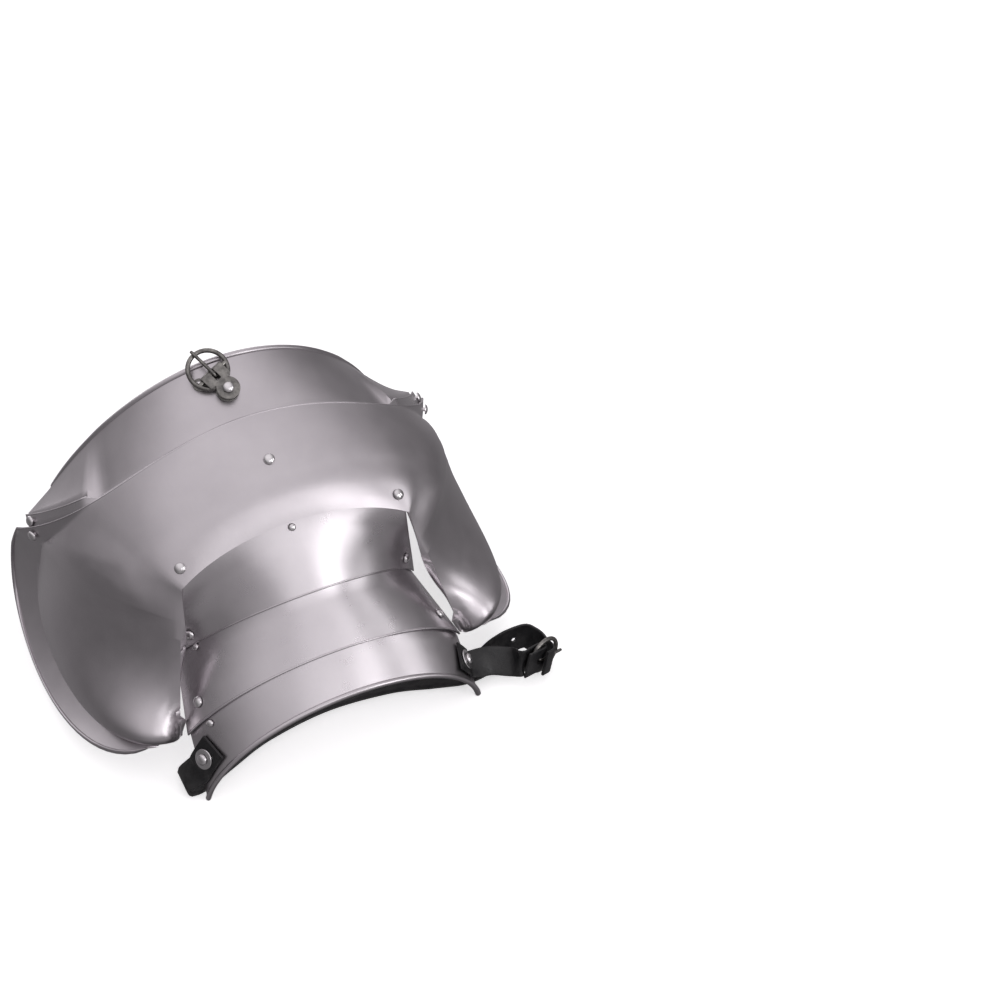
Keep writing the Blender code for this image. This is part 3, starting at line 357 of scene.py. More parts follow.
def neck_place(across, inside, depth):
    """Point under the neck edge of the shoulder plate and its normal: inside is the distance under the
    plate, square to its edge and negative beyond it, and depth is how far below its middle surface."""
    at = across * RAY_AT_WING
    edge = arch("plate_top", across)
    normal = plate_normal(at, 1.0)
    square = unit(np.cross(normal, edge_tangent("plate_top", across)))
    if np.dot(square, plate_point(0.0, 0.5) - arch("plate_top", 0.0)) < 0:
        square = -square
    if inside <= 0:
        return edge + square * inside - normal * depth, normal
    at, along = nearest_on_plate(edge + square * inside, at, 1 - inside / PLATE_REACH)
    normal = plate_normal(at, along)
    return plate_point(at, along) - normal * depth, normal


def neck_lame_edge(across):
    """The neck lame's free edge: it runs on from the shoulder plate and bends in to its two corners."""
    seam = neck_place(across, 0.0, NECK_STEP)[0]
    shown = NECK_LAME_CROWN + NECK_LAME_FLANK * across**2
    straight = neck_place(across, -shown, NECK_STEP)[0] - seam
    corner = scaled(NECK_LAME_CORNER) - neck_place(NECK_END, 0.0, NECK_STEP)[0]
    bend = NECK_LAME_BEND * (across / NECK_END) ** 4
    return seam + straight * (1 - bend) + mirrored(corner, 1.0 if across > 0 else -1.0) * bend


def neck_lame_place(across, back, depth):
    """Point under the neck lame's edge and its normal: back is the distance from that edge, and depth is
    how far below its middle surface."""
    edge = neck_lame_edge(across)
    seam, seam_normal = neck_place(across, 0.0, NECK_STEP)
    shown = np.linalg.norm(seam - edge)
    if back > shown:
        return neck_place(across, back - shown, NECK_STEP + depth)
    share = back / shown
    tangent = neck_lame_edge(across + 5 * NUDGE) - neck_lame_edge(across - 5 * NUDGE)
    normal = slope_normal(tangent, seam - edge, edge)
    normal = unit(normal * (1 - share) + seam_normal * share)
    return edge + (seam - edge) * share - normal * depth, normal


def neck_plate_place(across, share):
    """Point and normal of the neck plate's shown part: share is 0 at the neck lame, 1 at its top."""
    low = neck_lame_place(across, -2 * WALL, NECK_STEP)[0]
    high = arch("neck", across / NECK_END)
    normal = slope_normal(edge_tangent("neck", across / NECK_END), high - low, high)
    return low + (high - low) * share, normal


def sheet_point(index, across, back):
    """Middle surface of the sheet whose free edge is ARM_CHAIN[index], a distance back from that edge."""
    if index == 0:
        at = across * RAY_AT_CORNER
        inner, outer = ray_ends(at)
        return plate_point(at, back / np.linalg.norm(outer - inner))
    edge = arch(ARM_CHAIN[index], across)
    above = arch(ARM_CHAIN[index - 1], across)
    shown = np.linalg.norm(above - edge)
    if back <= shown:
        share = back / shown
        normal = sheet_place(index - 1, across, 0.0)[1]
        return edge + (above - edge) * share - normal * STEP * share
    point, normal = sheet_place(index - 1, across, back - shown)
    return point - normal * STEP


def sheet_shown(index, across):
    return np.linalg.norm(arch(ARM_CHAIN[index - 1], across) - arch(ARM_CHAIN[index], across))


def sheet_place(index, across, back):
    """Point on the middle surface and its outward normal."""
    here = sheet_point(index, across, back)
    right = sheet_point(index, min(across + NORMAL_ACROSS, 1.0), back)
    along = right - sheet_point(index, max(across - NORMAL_ACROSS, -1.0), back)
    behind = sheet_point(index, across, back + NORMAL_BACK)
    return here, slope_normal(along, here - behind, here)


def new_mesh(name, points, faces):
    """A mesh whose faces are all turned outward."""
    mesh = bpy.data.meshes.new(name)
    mesh.from_pydata([tuple(point) for point in points], [], faces)
    work = bmesh.new()
    work.from_mesh(mesh)
    bmesh.ops.recalc_face_normals(work, faces=work.faces)
    work.to_mesh(mesh)
    work.free()
    return mesh


def new_object(name, data):
    made = bpy.data.objects.new(name, data)
    bpy.context.scene.collection.objects.link(made)
    return made


def soften(mesh, sharp_degrees):
    mesh.shade_smooth()
    mesh.set_sharp_from_angle(angle=radians(sharp_degrees))


def add_piece(node, points, faces, look, sharp_degrees=50, place=None):
    """A fine piece that stands for a CAD node and rides on its body."""
    mesh = new_mesh("look_" + node, points, faces)
    soften(mesh, sharp_degrees)
    if place is not None:
        mesh.transform(place)
    mesh.transform(TO_MIDDLE)
    made = new_object("look_" + node, mesh)
    mesh.materials.append(look)
    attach(made, BODY_OF[node])
    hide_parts(node)
    return made


def round_ways(sides):
    """Cosine and sine of each direction round a circle."""
    return [(cos(2 * pi * k / sides), sin(2 * pi * k / sides)) for k in range(sides)]


def ring_faces(rings, sides, closed=False, start=0):
    """Faces between rings of points that follow one another; closed joins the last to the first."""
    faces = []
    for ring in range(rings if closed else rings - 1):
        low = start + ring * sides
        high = start + (ring + 1) % rings * sides
        for k in range(sides):
            after = (k + 1) % sides
            faces.append((low + k, high + k, high + after, low + after))
    return faces


def grid_normals(grid):
    normals = np.cross(np.gradient(grid, axis=0), np.gradient(grid, axis=1))
    facing = np.sign(np.sum(normals * (grid - scaled(DOME_CORE)), axis=-1, keepdims=True))
    return unit(normals * facing)


def closed_sheet(node, grid, roll, look):
    """Thickens a grid of middle points; the last column is the free edge, rolled by each row's radius."""
    rows, columns, _ = grid.shape
    steps = ROLL_STEPS if max(roll) > WALL else PLAIN_STEPS
    normals = grid_normals(grid)
    away = unit(grid[:, -1] - grid[:, -2])
    points = [*(grid + normals * WALL / 2).reshape(-1, 3), *(grid - normals * WALL / 2).reshape(-1, 3)]
    for row in range(rows):
        centre = grid[row, -1] + away[row] * roll[row] * ROLL_OUT
        for k in range(steps):
            angle = ROLL_START * (1 - 2 * k / (steps - 1))
            points.append(centre + roll[row] * (away[row] * cos(angle) + normals[row, -1] * sin(angle)))
    count = rows * columns

    def top(i, j):
        return i * columns + j

    def under(i, j):
        return count + i * columns + j

    def bead(i, k):
        return 2 * count + i * steps + k

    faces = []
    last = columns - 1
    for i in range(rows - 1):
        for j in range(last):
            faces.append((top(i, j), top(i + 1, j), top(i + 1, j + 1), top(i, j + 1)))
            faces.append((under(i, j), under(i, j + 1), under(i + 1, j + 1), under(i + 1, j)))
        faces.append((top(i, 0), under(i, 0), under(i + 1, 0), top(i + 1, 0)))
        faces.append((top(i, last), top(i + 1, last), bead(i + 1, 0), bead(i, 0)))
        for k in range(steps - 1):
            faces.append((bead(i, k), bead(i + 1, k), bead(i + 1, k + 1), bead(i, k + 1)))
        faces.append((bead(i, steps - 1), bead(i + 1, steps - 1), under(i + 1, last), under(i, last)))
    for i in (0, rows - 1):
        for j in range(last):
            faces.append((top(i, j), top(i, j + 1), under(i, j + 1), under(i, j)))
        beads = [bead(i, k) for k in range(steps)]
        faces.append((top(i, last), *beads, under(i, last)))
    return add_piece(node, points, faces, look)


def make_shoulder_plate(look):
    half = list(np.linspace(0, RAY_AT_WING, NECK_HALF_STEPS + 1))
    wing = np.linspace(0, 1, WING_STEPS + 1)[1:] ** WING_CROWDING
    half += list(RAY_AT_WING + (1 - RAY_AT_WING) * wing)
    stations = [-at for at in half[:0:-1]] + half
    grid = []
    roll = []
    for at in stations:
        inner, outer = ray_ends(at)
        length = np.linalg.norm(outer - inner)
        near = min(OVERLAP / length, 0.2)
        far = 1 - max(near, ray_form(at)[1])
        steps = [*np.linspace(0.0, near, 5)[:-1], *np.linspace(near, far, PLATE_STEPS)]
        steps += [*np.linspace(far, 1.0, 9)[1:]]
        row = [plate_point(at, along) for along in steps]
        flange = ray_form(at)[2]
        first = unit(row[0] - row[1])
        sideways = ray_ends(at + NUDGE)[0] - ray_ends(at - NUDGE)[0]
        inward = -outward(row[0], slope_normal(row[1] - row[0], sideways, row[0]))
        turned = unit(first * (1 - flange) + inward * flange)
        reach = LIP + FLANGE * flange
        grid.append([row[0] + turned * reach * share for share in (1.0, 0.66, 0.33)] + row)
        past = max(0.0, min(1.0, (abs(at) - RAY_AT_WING) / ROLL_GROWS))
        roll.append(THIN_EDGE + (ROLL_RADIUS - THIN_EDGE) * past)
    return closed_sheet("shoulder_plate", np.array(grid), roll, look)


def make_lame(index, look):
    grid = []
    for across in np.linspace(-1, 1, 2 * ARCH_HALF_STEPS + 1):
        shown = sheet_shown(index, across)
        backs = [shown + extra for extra in (OVERLAP, OVERLAP / 2, 0.002)]
        backs += [shown * share for share in (1.0, 0.75, 0.5, 0.25, 0.0)]
        row = [sheet_point(index, across, back) for back in backs]
        if index == 1:
            for low, share in enumerate(FLARE_SHARES, len(backs) - len(FLARE_SHARES)):
                row[low] = row[low] + sheet_place(index, across, backs[low])[1] * LAME_FLARE * share
        grid.append(row)
    roll = [ROLL_RADIUS if index == 3 else THIN_EDGE] * len(grid)
    return closed_sheet(f"arm_lame_{index}", np.array(grid), roll, look)


def make_neck_lame(look):
    grid = []
    for across in np.linspace(-NECK_END, NECK_END, 2 * NECK_HALF_STEPS + 1):
        under = OVERLAP * (1 - NECK_LAME_TAPER * across**2)
        row = [neck_place(across, inside, NECK_STEP)[0] for inside in (under, under / 2, 0.0)]
        edge = neck_lame_edge(across)
        grid.append([*row, row[-1] * 0.5 + edge * 0.5, edge])
    return closed_sheet("neck_lame", np.array(grid), [THIN_EDGE] * len(grid), look)


def make_neck_plate(look):
    grid = []
    for across in np.linspace(-NECK_END, NECK_END, 2 * NECK_HALF_STEPS + 1):
        backs = (NECK_OVERLAP, NECK_OVERLAP / 2, 0.0)
        row = [neck_lame_place(across, back, NECK_STEP)[0] for back in backs]
        low = neck_plate_place(across, 0.0)[0]
        high = neck_plate_place(across, 1.0)[0]
        row += [low + (high - low) * share for share in np.linspace(0, 1, 10)]
        grid.append(row)
    return closed_sheet("neck_plate", np.array(grid), [ROLL_RADIUS] * len(grid), look)


# Rivets


def turned_solid(node, profile, look, place):
    """Turns a profile of (radius, height) rows, from the top of the axis to its foot, round Z."""
    points = [(0.0, 0.0, profile[0][1])]
    for radius, height in profile[1:-1]:
        points += [(radius * x, radius * y, height) for x, y in round_ways(RIVET_SIDES)]
    points.append((0.0, 0.0, profile[-1][1]))
    rings = len(profile) - 2
    foot = 1 + (rings - 1) * RIVET_SIDES
    faces = ring_faces(rings, RIVET_SIDES, start=1)
    for k in range(RIVET_SIDES):
        after = (k + 1) % RIVET_SIDES
        faces += [(0, 1 + k, 1 + after), (foot + k, len(points) - 1, foot + after)]
    return add_piece(node, points, faces, look, 40, place)


def frame_at(origin, along, normal):
    """Matrix with its Z on the normal and its X near along."""
    z = Vector(normal).normalized()
    x = Vector(along)
    x = (x - z * x.dot(z)).normalized()
    turn = Matrix((x, z.cross(x), z)).transposed().to_4x4()
    return Matrix.Translation(Vector(origin)) @ turn


def upright(point, normal):
    """Matrix whose Z lies along the normal and whose X is level."""
    return frame_at(point, Vector((0.0, 0.0, 1.0)).cross(Vector(normal)), normal)


def make_rivet(node, point, normal, top, depth, look, head=HEAD_RADIUS):
    """A round head with a small flat rim, its shank and its hammered tail."""
    seat = top + 2 * SEAT_GAP
    foot = -depth - WALL / 2 - 2 * SEAT_GAP
    rise = HEAD_RISE * head / HEAD_RADIUS
    profile = [(0, seat + rise)]
    for k in range(1, HEAD_ARCS + 1):
        a = radians(88) * k / HEAD_ARCS
        profile.append((head * sin(a), seat + HEAD_RIM + (rise - HEAD_RIM) * cos(a)))
    profile += [(head, seat), (SHANK_RADIUS, seat), (SHANK_RADIUS, foot), (TAIL_RADIUS, foot)]
    profile += [(TAIL_RADIUS * 0.7, foot - TAIL_RISE * 0.8), (0, foot - TAIL_RISE)]
    return turned_solid(node, profile, look, upright(point, normal))


def make_washer(node, point, normal, low, radius, thick, look):
    high = low + thick
    profile = [(RIVET_HOLE, high), (radius * 0.90, high), (radius * 0.97, high - thick * 0.25)]
    profile += [(radius, low + thick * 0.3), (radius * 0.99, low), (RIVET_HOLE, low)]
    ways = round_ways(WASHER_SIDES)
    points = [(reach * x, reach * y, level) for reach, level in profile for x, y in ways]
    faces = ring_faces(len(profile), WASHER_SIDES, True)
    return add_piece(node, points, faces, look, 35, upright(point, normal))


# Straps


def smooth_route(rows, count):
    """Points of a Catmull-Rom curve through the rows, evenly spaced."""
    rows = np.asarray(rows, float)
    ends = np.vstack([2 * rows[0] - rows[1], rows, 2 * rows[-1] - rows[-2]])
    dense = []
    for place in np.linspace(0, len(rows) - 1, 40 * len(rows)):
        i = min(int(place), len(rows) - 2)
        t = place - i
        p0, p1, p2, p3 = ends[i : i + 4]
        bend = (2 * p0 - 5 * p1 + 4 * p2 - p3) * t**2 + (3 * p1 - p0 - 3 * p2 + p3) * t**3
        dense.append(0.5 * (2 * p1 + (p2 - p0) * t + bend))
    dense = np.array(dense)
    lengths = np.concatenate([[0], np.cumsum(np.linalg.norm(np.diff(dense[:, :3], axis=0), axis=1))])
    wanted = np.linspace(0, lengths[-1], count)
    return np.array([np.interp(wanted, lengths, column) for column in dense.T]).T


def ribbon_mesh(route, wide, width, thick, round_share=0.35):
    """Points and faces of a flat band with rounded edges along a route."""
    heading = unit(np.gradient(route, axis=0))
    wide = unit(wide - heading * np.sum(wide * heading, axis=-1, keepdims=True))
    up = np.cross(heading, wide)
    width = np.broadcast_to(width, len(route))
    arc = thick * round_share
    points = []
    for place, w, u, across in zip(route, wide, up, width):
        half = across / 2 - arc
        for side, way, rows in ((1, 1, BAND_ROWS[::-1]), (-1, 1, []), (-1, -1, BAND_ROWS), (1, -1, [])):
            corner = place + w * side * half + u * way * (thick / 2 - arc)
            arcs = CORNER_ARC if side == way else CORNER_ARC[::-1]
            points += [corner + (w * side * c + u * way * s) * arc for c, s in arcs]
            points += [place + w * share * half + u * way * thick / 2 for share in rows]
    count = len(points) // len(route)
    faces = ring_faces(len(route), count)
    faces += [tuple(range(count)), tuple(range(len(points) - count, len(points)))]
    return points, faces


def cut_with(made, points, faces):
    """Cuts a closed shape out of a piece and leaves nothing of the cutter."""
    cutter = new_object("cutter", new_mesh("cutter", points, faces))
    cutter.data.transform(TO_MIDDLE)
    cut = made.modifiers.new("cut", "BOOLEAN")
    cut.operation = "DIFFERENCE"
    cut.object = cutter
    bpy.context.view_layer.update()
    graph = bpy.context.evaluated_depsgraph_get()
    mesh = bpy.data.meshes.new_from_object(made.evaluated_get(graph))
    made.modifiers.remove(cut)
    made.data = mesh
    bpy.data.objects.remove(cutter, do_unlink=True)
    soften(mesh, 35)


def peg(point, normal):
    """Points and faces of a round cutter for a rivet's hole."""
    z = Vector(normal).normalized()
    x = z.orthogonal().normalized()
    y = z.cross(x)
    points = []
    for end in (-CUT_REACH, CUT_REACH):
        middle = Vector(point) + z * end
        points += [middle + (x * c + y * s) * RIVET_HOLE for c, s in round_ways(PEG_SIDES)]
    faces = ring_faces(2, PEG_SIDES) + [tuple(range(PEG_SIDES)), tuple(range(PEG_SIDES, 2 * PEG_SIDES))]
    return points, faces


def prong_slot(back, place):
    """Points and faces of a cutter for a prong's slot, from a distance back of the bar to beyond it."""
    corners = [(x, y, z) for x in (-back, 0.01) for y in (-PRONG_SLOT, PRONG_SLOT) for z in (-0.01, 0.01)]
    faces = [(0, 1, 3, 2), (4, 6, 7, 5), (0, 4, 5, 1), (2, 3, 7, 6), (0, 2, 6, 4), (1, 5, 7, 3)]
    return placed(place, corners), faces


# Buckles


def placed(place, points):
    return np.array([tuple(place @ Vector(point)) for point in points])


def wire_mesh(route, axis, radii, cyclic, place):
    """Points and faces of a round wire along a route that lies in the plane square to axis."""
    route = np.asarray(route, float)
    axis = np.asarray(axis, float)
    count = len(route)
    ahead = np.gradient(route, axis=0)
    if cyclic:
        ahead = np.roll(route, -1, axis=0) - np.roll(route, 1, axis=0)
    radii = np.broadcast_to(radii, count)
    points = []
    for centre, heading, radius in zip(route, unit(ahead), radii):
        out = np.cross(heading, axis)
        points += [centre + radius * (out * x + axis * y) for x, y in round_ways(WIRE_SIDES)]
    faces = ring_faces(count, WIRE_SIDES, cyclic)
    if not cyclic:
        faces.append(tuple(range(WIRE_SIDES)))
        faces.append(tuple(range((count - 1) * WIRE_SIDES, count * WIRE_SIDES)))
    return placed(place, points), faces


def make_ring(node, place, look):
    """A round ring whose straight bar lies on the Y axis of place."""
    circle = [(BAR_OFFSET + RING_RADIUS * x, RING_RADIUS * y, 0.0) for x, y in round_ways(RING_SIDES)]
    points, faces = wire_mesh(circle, (0, 0, 1), WIRE_RADIUS, True, place)
    half = (RING_RADIUS**2 - BAR_OFFSET**2) ** 0.5
    route = [(0, half * share, 0) for share in np.linspace(-1, 1, 9)]
    bar_points, bar_faces = wire_mesh(route, (0, 0, 1), WIRE_RADIUS * 0.97, False, place)
    start = len(points)
    faces += [tuple(start + index for index in face) for face in bar_faces]
    return add_piece(node, np.concatenate([points, bar_points]), faces, look, 60)


def make_prong(node, place, look):
    """A prong that loops round the bar and lies across the far side of the ring, with a rounded tip."""
    reach = BAR_OFFSET + RING_RADIUS
    bend = [radians(angle) for angle in range(350, 89, -10)]
    route = [(PRONG_LOOP * cos(angle), 0.0, PRONG_LOOP * sin(angle)) for angle in bend]
    route += [(reach * share, 0.0, PRONG_LOOP) for share in np.linspace(0.08, 1.17, 24)]
    route[-2] = (reach * 1.155, 0.0, PRONG_LOOP)
    radii = [PRONG_RADIUS] * (len(route) - 3) + [PRONG_RADIUS * share for share in (0.96, 0.84, 0.5)]
    points, faces = wire_mesh(route, (0, 1, 0), radii, False, place)
    return add_piece(node, points, faces, look, 60)


def make_buckle_plate(place, look):
    """A plate folded round the bar: its layers end in round lobes."""
    half_route = []
    for angle in np.linspace(14, 140, 22):
        a = radians(angle)
        half_route.append((-cos(a) * LOBE_RADIUS - LOBE_TO_BAR, 2 * sin(a) * LOBE_RADIUS))
    neck = half_route[-1]
    shoulder = -0.55 * LOBE_TO_BAR
    full = 2.25 * LOBE_RADIUS
    for share in (0.35, 0.7):
        half_route.append((neck[0] + (shoulder - neck[0]) * share, neck[1] + 0.1 * LOBE_RADIUS * share))
    half_route += [(shoulder, 1.45 * LOBE_RADIUS), (shoulder + 0.0002, 2.2 * LOBE_RADIUS)]
    half_route += [(shoulder + 0.0008, full), (-0.25 * LOBE_TO_BAR, full)]
    rows = [(x, -SHEET_LOOP, across) for x, across in half_route]
    for angle in range(-90, 91, 10):
        rows.append((SHEET_LOOP * cos(radians(angle)), SHEET_LOOP * sin(radians(angle)), full))
    rows += [(x, SHEET_LOOP, across) for x, across in half_route[::-1]]
    route = [(x, 0.0, z) for x, z, _ in rows]
    width = [across for _, _, across in rows]
    wide = np.array([tuple(place.to_3x3() @ Vector((0, 1, 0)))] * len(route))
    points, faces = ribbon_mesh(placed(place, route), wide, np.array(width), BUCKLE_SHEET, 0.2)
    plate = add_piece("neck_buckle_plate", points, faces, look, 40)
    cut_with(plate, *prong_slot(0.42 * LOBE_TO_BAR, place))


def dress(looks):
    """Makes each of the pieces with its look."""
    plate_look, lame_look, rivet_look, dark_look, leather_look = looks
    make_shoulder_plate(plate_look)
    make_neck_lame(lame_look)
    make_neck_plate(plate_look)
    for index in (1, 2, 3):
        make_lame(index, lame_look)
    for side, end in ((-1, "front"), (1, "back")):
        for rivet in ARM_PIVOTS:
            point, normal = sheet_place(rivet.sheet, side * rivet.across, rivet.back)
            top = WALL / 2 + rivet.lift
            make_rivet(f"rivet_{rivet.name}_{end}", point, normal, top, STEP, rivet_look)
        top = WALL / 2 + NECK_RIVET_LIFT
        depth = NECK_STEP + NECK_RIVET_SLACK
        point, normal = neck_place(side * NECK_PIVOT_ACROSS, PLATE_TO_NECK_INSIDE, 0.0)
        make_rivet(f"rivet_plate_to_neck_lame_{end}", point, normal, top, depth, rivet_look)
        point, normal = neck_lame_place(side * NECK_LAME_PIVOT_ACROSS, NECK_LAME_RIVET_BACK, 0.0)
        make_rivet(f"rivet_neck_lame_to_plate_{end}", point, normal, top, depth, rivet_look)
    point, normal = sheet_place(0, 0.0, CENTRE_RIVET_BACK)
    make_rivet("rivet_centre", point, normal, WALL / 2, 0.0, rivet_look)
    for name, sheet, across in SEAM_RIVETS:
        shown = sheet_shown(sheet, across)
        point, normal = sheet_place(sheet, across, shown - SEAM_HEAD_RADIUS - SEAM_MARGIN)
        top = WALL / 2 + SEAT_GAP
        make_rivet(f"rivet_{name}", point, normal, top, 0.0, rivet_look, SEAM_HEAD_RADIUS)
    add_neck_buckle(dark_look, rivet_look)
    add_arm_strap(leather_look, dark_look, rivet_look)


def add_neck_buckle(look, rivet_look):
    """Buckle plate, ring and prong on the neck plate, turned a little to the front."""
    across = NECK_BUCKLE_ACROSS
    point, normal = neck_plate_place(across, NECK_BUCKLE_SHARE)
    to_edge = neck_plate_place(across, 1.0)[0] - point
    heading = Matrix.Rotation(radians(NECK_BUCKLE_TURN), 3, Vector(normal)) @ Vector(to_edge)
    lift = WALL / 2 + 2 * SEAT_GAP + 2 * PRONG_RADIUS + WIRE_RADIUS
    seat = frame_at(Vector(point) + Vector(normal) * lift, heading, normal)
    bar = seat @ Matrix.Translation((LOBE_TO_BAR, 0, 0))
    make_buckle_plate(bar, look)
    tilted = bar @ Matrix.Rotation(radians(-NECK_RING_TILT), 4, "Y")
    make_ring("neck_ring", tilted, look)
    make_prong("neck_prong", tilted, look)
    make_rivet("rivet_neck_buckle", point, normal, lift + SHEET_LOOP + BUCKLE_SHEET / 2, 0.0, rivet_look)
    point, normal = neck_plate_place(SPARE_RIVET_ACROSS, SPARE_RIVET_SHARE)
    low, thick = WALL / 2 + SEAT_GAP, SPARE_WASHER_THICK
    # The washer is dark steel: partly its own dark tone, partly painted shade standing in for the ring's
    # shadow round the rivet.
    make_washer("washer_neck", point, normal, low, SPARE_WASHER_RADIUS, thick, look)
    make_rivet("rivet_neck", point, normal, low + thick, 0.0, rivet_look, SPARE_HEAD_RADIUS)


def strap_start(anchor, thick, share):
    """Rows of a strap's route across its rivet: places with the way across the strap."""
    point, normal, down, wide = anchor
    rows = []
    for step in np.linspace(-share, share, 5):
        lift = STRAP_STACK + thick / 2 - STRAP_SAG * step * step
        rows.append([*(point + normal * lift + down * step * STRAP_LAP), *wide])
    return rows


def add_strap(node, rows, steps, thick, look):
    """The strap along a route of rows. Returns it with its places and the ways across it."""
    route = smooth_route(rows, steps)
    places, wide = route[:, :3], route[:, 3:]
    points, faces = ribbon_mesh(places, wide, STRAP_WIDTH, thick)
    return add_piece(node, points, faces, look), places, wide


def add_arm_strap(look, ring_look, rivet_look):
    """The long strap, from the last lame's front end over the table and through the ring, and the short
    strap with its buckle at the back end."""
    bar = frame_at(scaled(ARM_RING_AT), ARM_RING_ALONG, ARM_RING_FACE)
    upright_way = np.array(tuple(bar.to_3x3() @ Vector((0, 1, 0))))
    anchors = []
    for side in (-1, 1):
        across = side * STRAP_RIVET_ACROSS
        point, normal = sheet_place(3, across, STRAP_RIVET_BACK)
        down = unit(sheet_point(3, across + side * 0.01, STRAP_RIVET_BACK) - point)
        anchors.append((point, normal, down, np.cross(normal, down) * side))
    front, back = anchors

    rows = strap_start(front, STRAP_THICK, 1.0)
    for row in STRAP_TURN:
        rows.append([*scaled(row), 0.0, 1.0, 0.0])
    for row, ahead in zip(STRAP_RUN, STRAP_RUN[1:] + STRAP_RISE[:1]):
        run = scaled(ahead) - scaled(row)
        rows.append([*scaled(row), *unit([-run[1], run[0], 0.0])])
    for row in STRAP_RISE:
        way = np.array([0.0, 1.0, 0.0]) * (1 - row.upright) + upright_way * row.upright
        rows.append([*scaled(row), *way])
    for x, z in STRAP_THROUGH:
        rows.append([*placed(bar, [(x * RING_RADIUS, 0, z * RING_RADIUS)])[0], *upright_way])
    strap, places, wide = add_strap("arm_strap", rows, STRAP_STEPS, STRAP_THICK, look)
    through = placed(bar, [(STRAP_AT_PRONG * RING_RADIUS, 0, PRONG_LOOP)])[0]
    cut_with(strap, *peg(through, tuple(bar.to_3x3() @ Vector((1, 0, 0)))))
    cut_with(strap, *peg(*front[:2]))
    face = np.cross(unit(np.gradient(places, axis=0)), unit(wide))
    for share in STRAP_HOLES:
        i = int(share * STRAP_STEPS)
        cut_with(strap, *peg(places[i], face[i]))
    add_washer_rivet("front", *front[:2], STRAP_STACK + STRAP_THICK, rivet_look)

    rows = strap_start(back, TAB_THICK, 0.8)
    for row in TAB_RUN:
        rows.append([*scaled(row), *(0.5 * back[3] + 0.5 * upright_way)])
    for x, z in TAB_ROUND:
        far = RING_RADIUS if x < 0 else TAB_LOOP
        rows.append([*placed(bar, [(x * far, 0, z * TAB_LOOP)])[0], *upright_way])
    tab = add_strap("buckle_strap", rows, TAB_STEPS, TAB_THICK, look)[0]
    cut_with(tab, *prong_slot(0.5 * RING_RADIUS, bar))
    cut_with(tab, *peg(*back[:2]))
    add_washer_rivet("back", *back[:2], STRAP_STACK + TAB_THICK, rivet_look)
    make_ring("arm_ring", bar, ring_look)
    make_prong("arm_prong", bar, ring_look)


def add_washer_rivet(end, point, normal, height, look):
    low = height + SEAT_GAP
    make_washer(f"washer_{end}", point, normal, low, WASHER_RADIUS, WASHER_THICK, look)
    make_rivet(f"rivet_strap_{end}", point, normal, low + WASHER_THICK, 0.0, look)


# Materials


def feed(tree, node, inputs):
    """Gives each named input of a node a value, or a link from another node's output."""
    for name, value in inputs.items():
        if isinstance(value, bpy.types.NodeSocket):
            tree.links.new(value, node.inputs[name])
        else:
            node.inputs[name].default_value = value


def add_node(tree, kind, inputs, output):
    made = tree.nodes.new("ShaderNode" + kind)
    feed(tree, made, inputs)
    return made.outputs[output]


def start_look(name, roughness, metallic):
    """A new material, its nodes, their shader and the object's own space."""
    made = bpy.data.materials.new(name)
    made.use_nodes = True
    tree = made.node_tree
    shader = tree.nodes["Principled BSDF"]
    feed(tree, shader, {"Roughness": roughness, "Metallic": metallic})
    return made, tree, shader, add_node(tree, "TexCoord", {}, "Object")


def noise(tree, where, scale, detail=4.0, roughness=0.5):
    inputs = {"Vector": where, "Scale": scale, "Detail": detail, "Roughness": roughness}
    return add_node(tree, "TexNoise", inputs, "Fac")


def ramp(tree, value, low, high, low_colour, high_colour):
    made = tree.nodes.new("ShaderNodeValToRGB")
    for element, place, colour in zip(made.color_ramp.elements, (low, high), (low_colour, high_colour)):
        element.position = place
        element.color = (*colour, 1.0)
    feed(tree, made, {"Fac": value})
    return made.outputs["Color"]


def spread(tree, value, low, high):
    """Maps a noise, which is mostly between 0.3 and 0.7, onto a range of numbers."""
    inputs = {"Value": value, "From Min": 0.3, "From Max": 0.7, "To Min": low, "To Max": high}
    return add_node(tree, "MapRange", inputs, "Result")


def bump(tree, value, strength, distance, **before):
    inputs = {"Height": value, "Strength": strength, "Distance": distance, **before}
    return add_node(tree, "Bump", inputs, "Normal")


def steel_look(name, dark, light, rough_low, rough_high, wave):
    """Satin polished sheet steel: faint hammer waves, fine scratches and cloudy patches."""
    made, tree, shader, where = start_look(name, 0.25, 1.0)
    clouds = noise(tree, where, 28.0, 5.0, 0.55)
    patches = noise(tree, where, 55.0, 6.0, 0.6)
    waves = bump(tree, noise(tree, where, 24.0, 1.5, 0.4), wave, 0.004)
    drawn = add_node(tree, "Mapping", {"Vector": where, "Scale": (1.0, 0.12, 0.5)}, "Vector")
    scratches = noise(tree, drawn, 420.0, 3.0, 0.7)
    colour = ramp(tree, clouds, 0.32, 0.70, dark, light)
    grain = bump(tree, scratches, 0.05, 0.0004, Normal=waves)
    rough = spread(tree, patches, rough_low, rough_high)
    feed(tree, shader, {"Base Color": colour, "Roughness": rough, "Normal": grain})
    return made


def dark_steel_look(name):
    """Antique steel: dark patina, worn brighter in patches, with a cast surface."""
    made, tree, shader, where = start_look(name, 0.4, 1.0)
    patches = noise(tree, where, 260.0, 5.0, 0.6)
    colour = ramp(tree, patches, 0.35, 0.68, (0.16, 0.155, 0.15), (0.34, 0.33, 0.31))
    grain = bump(tree, noise(tree, where, 900.0, 3.0), 0.25, 0.0005)
    rough = spread(tree, patches, 0.48, 0.30)
    feed(tree, shader, {"Base Color": colour, "Roughness": rough, "Normal": grain})
    return made


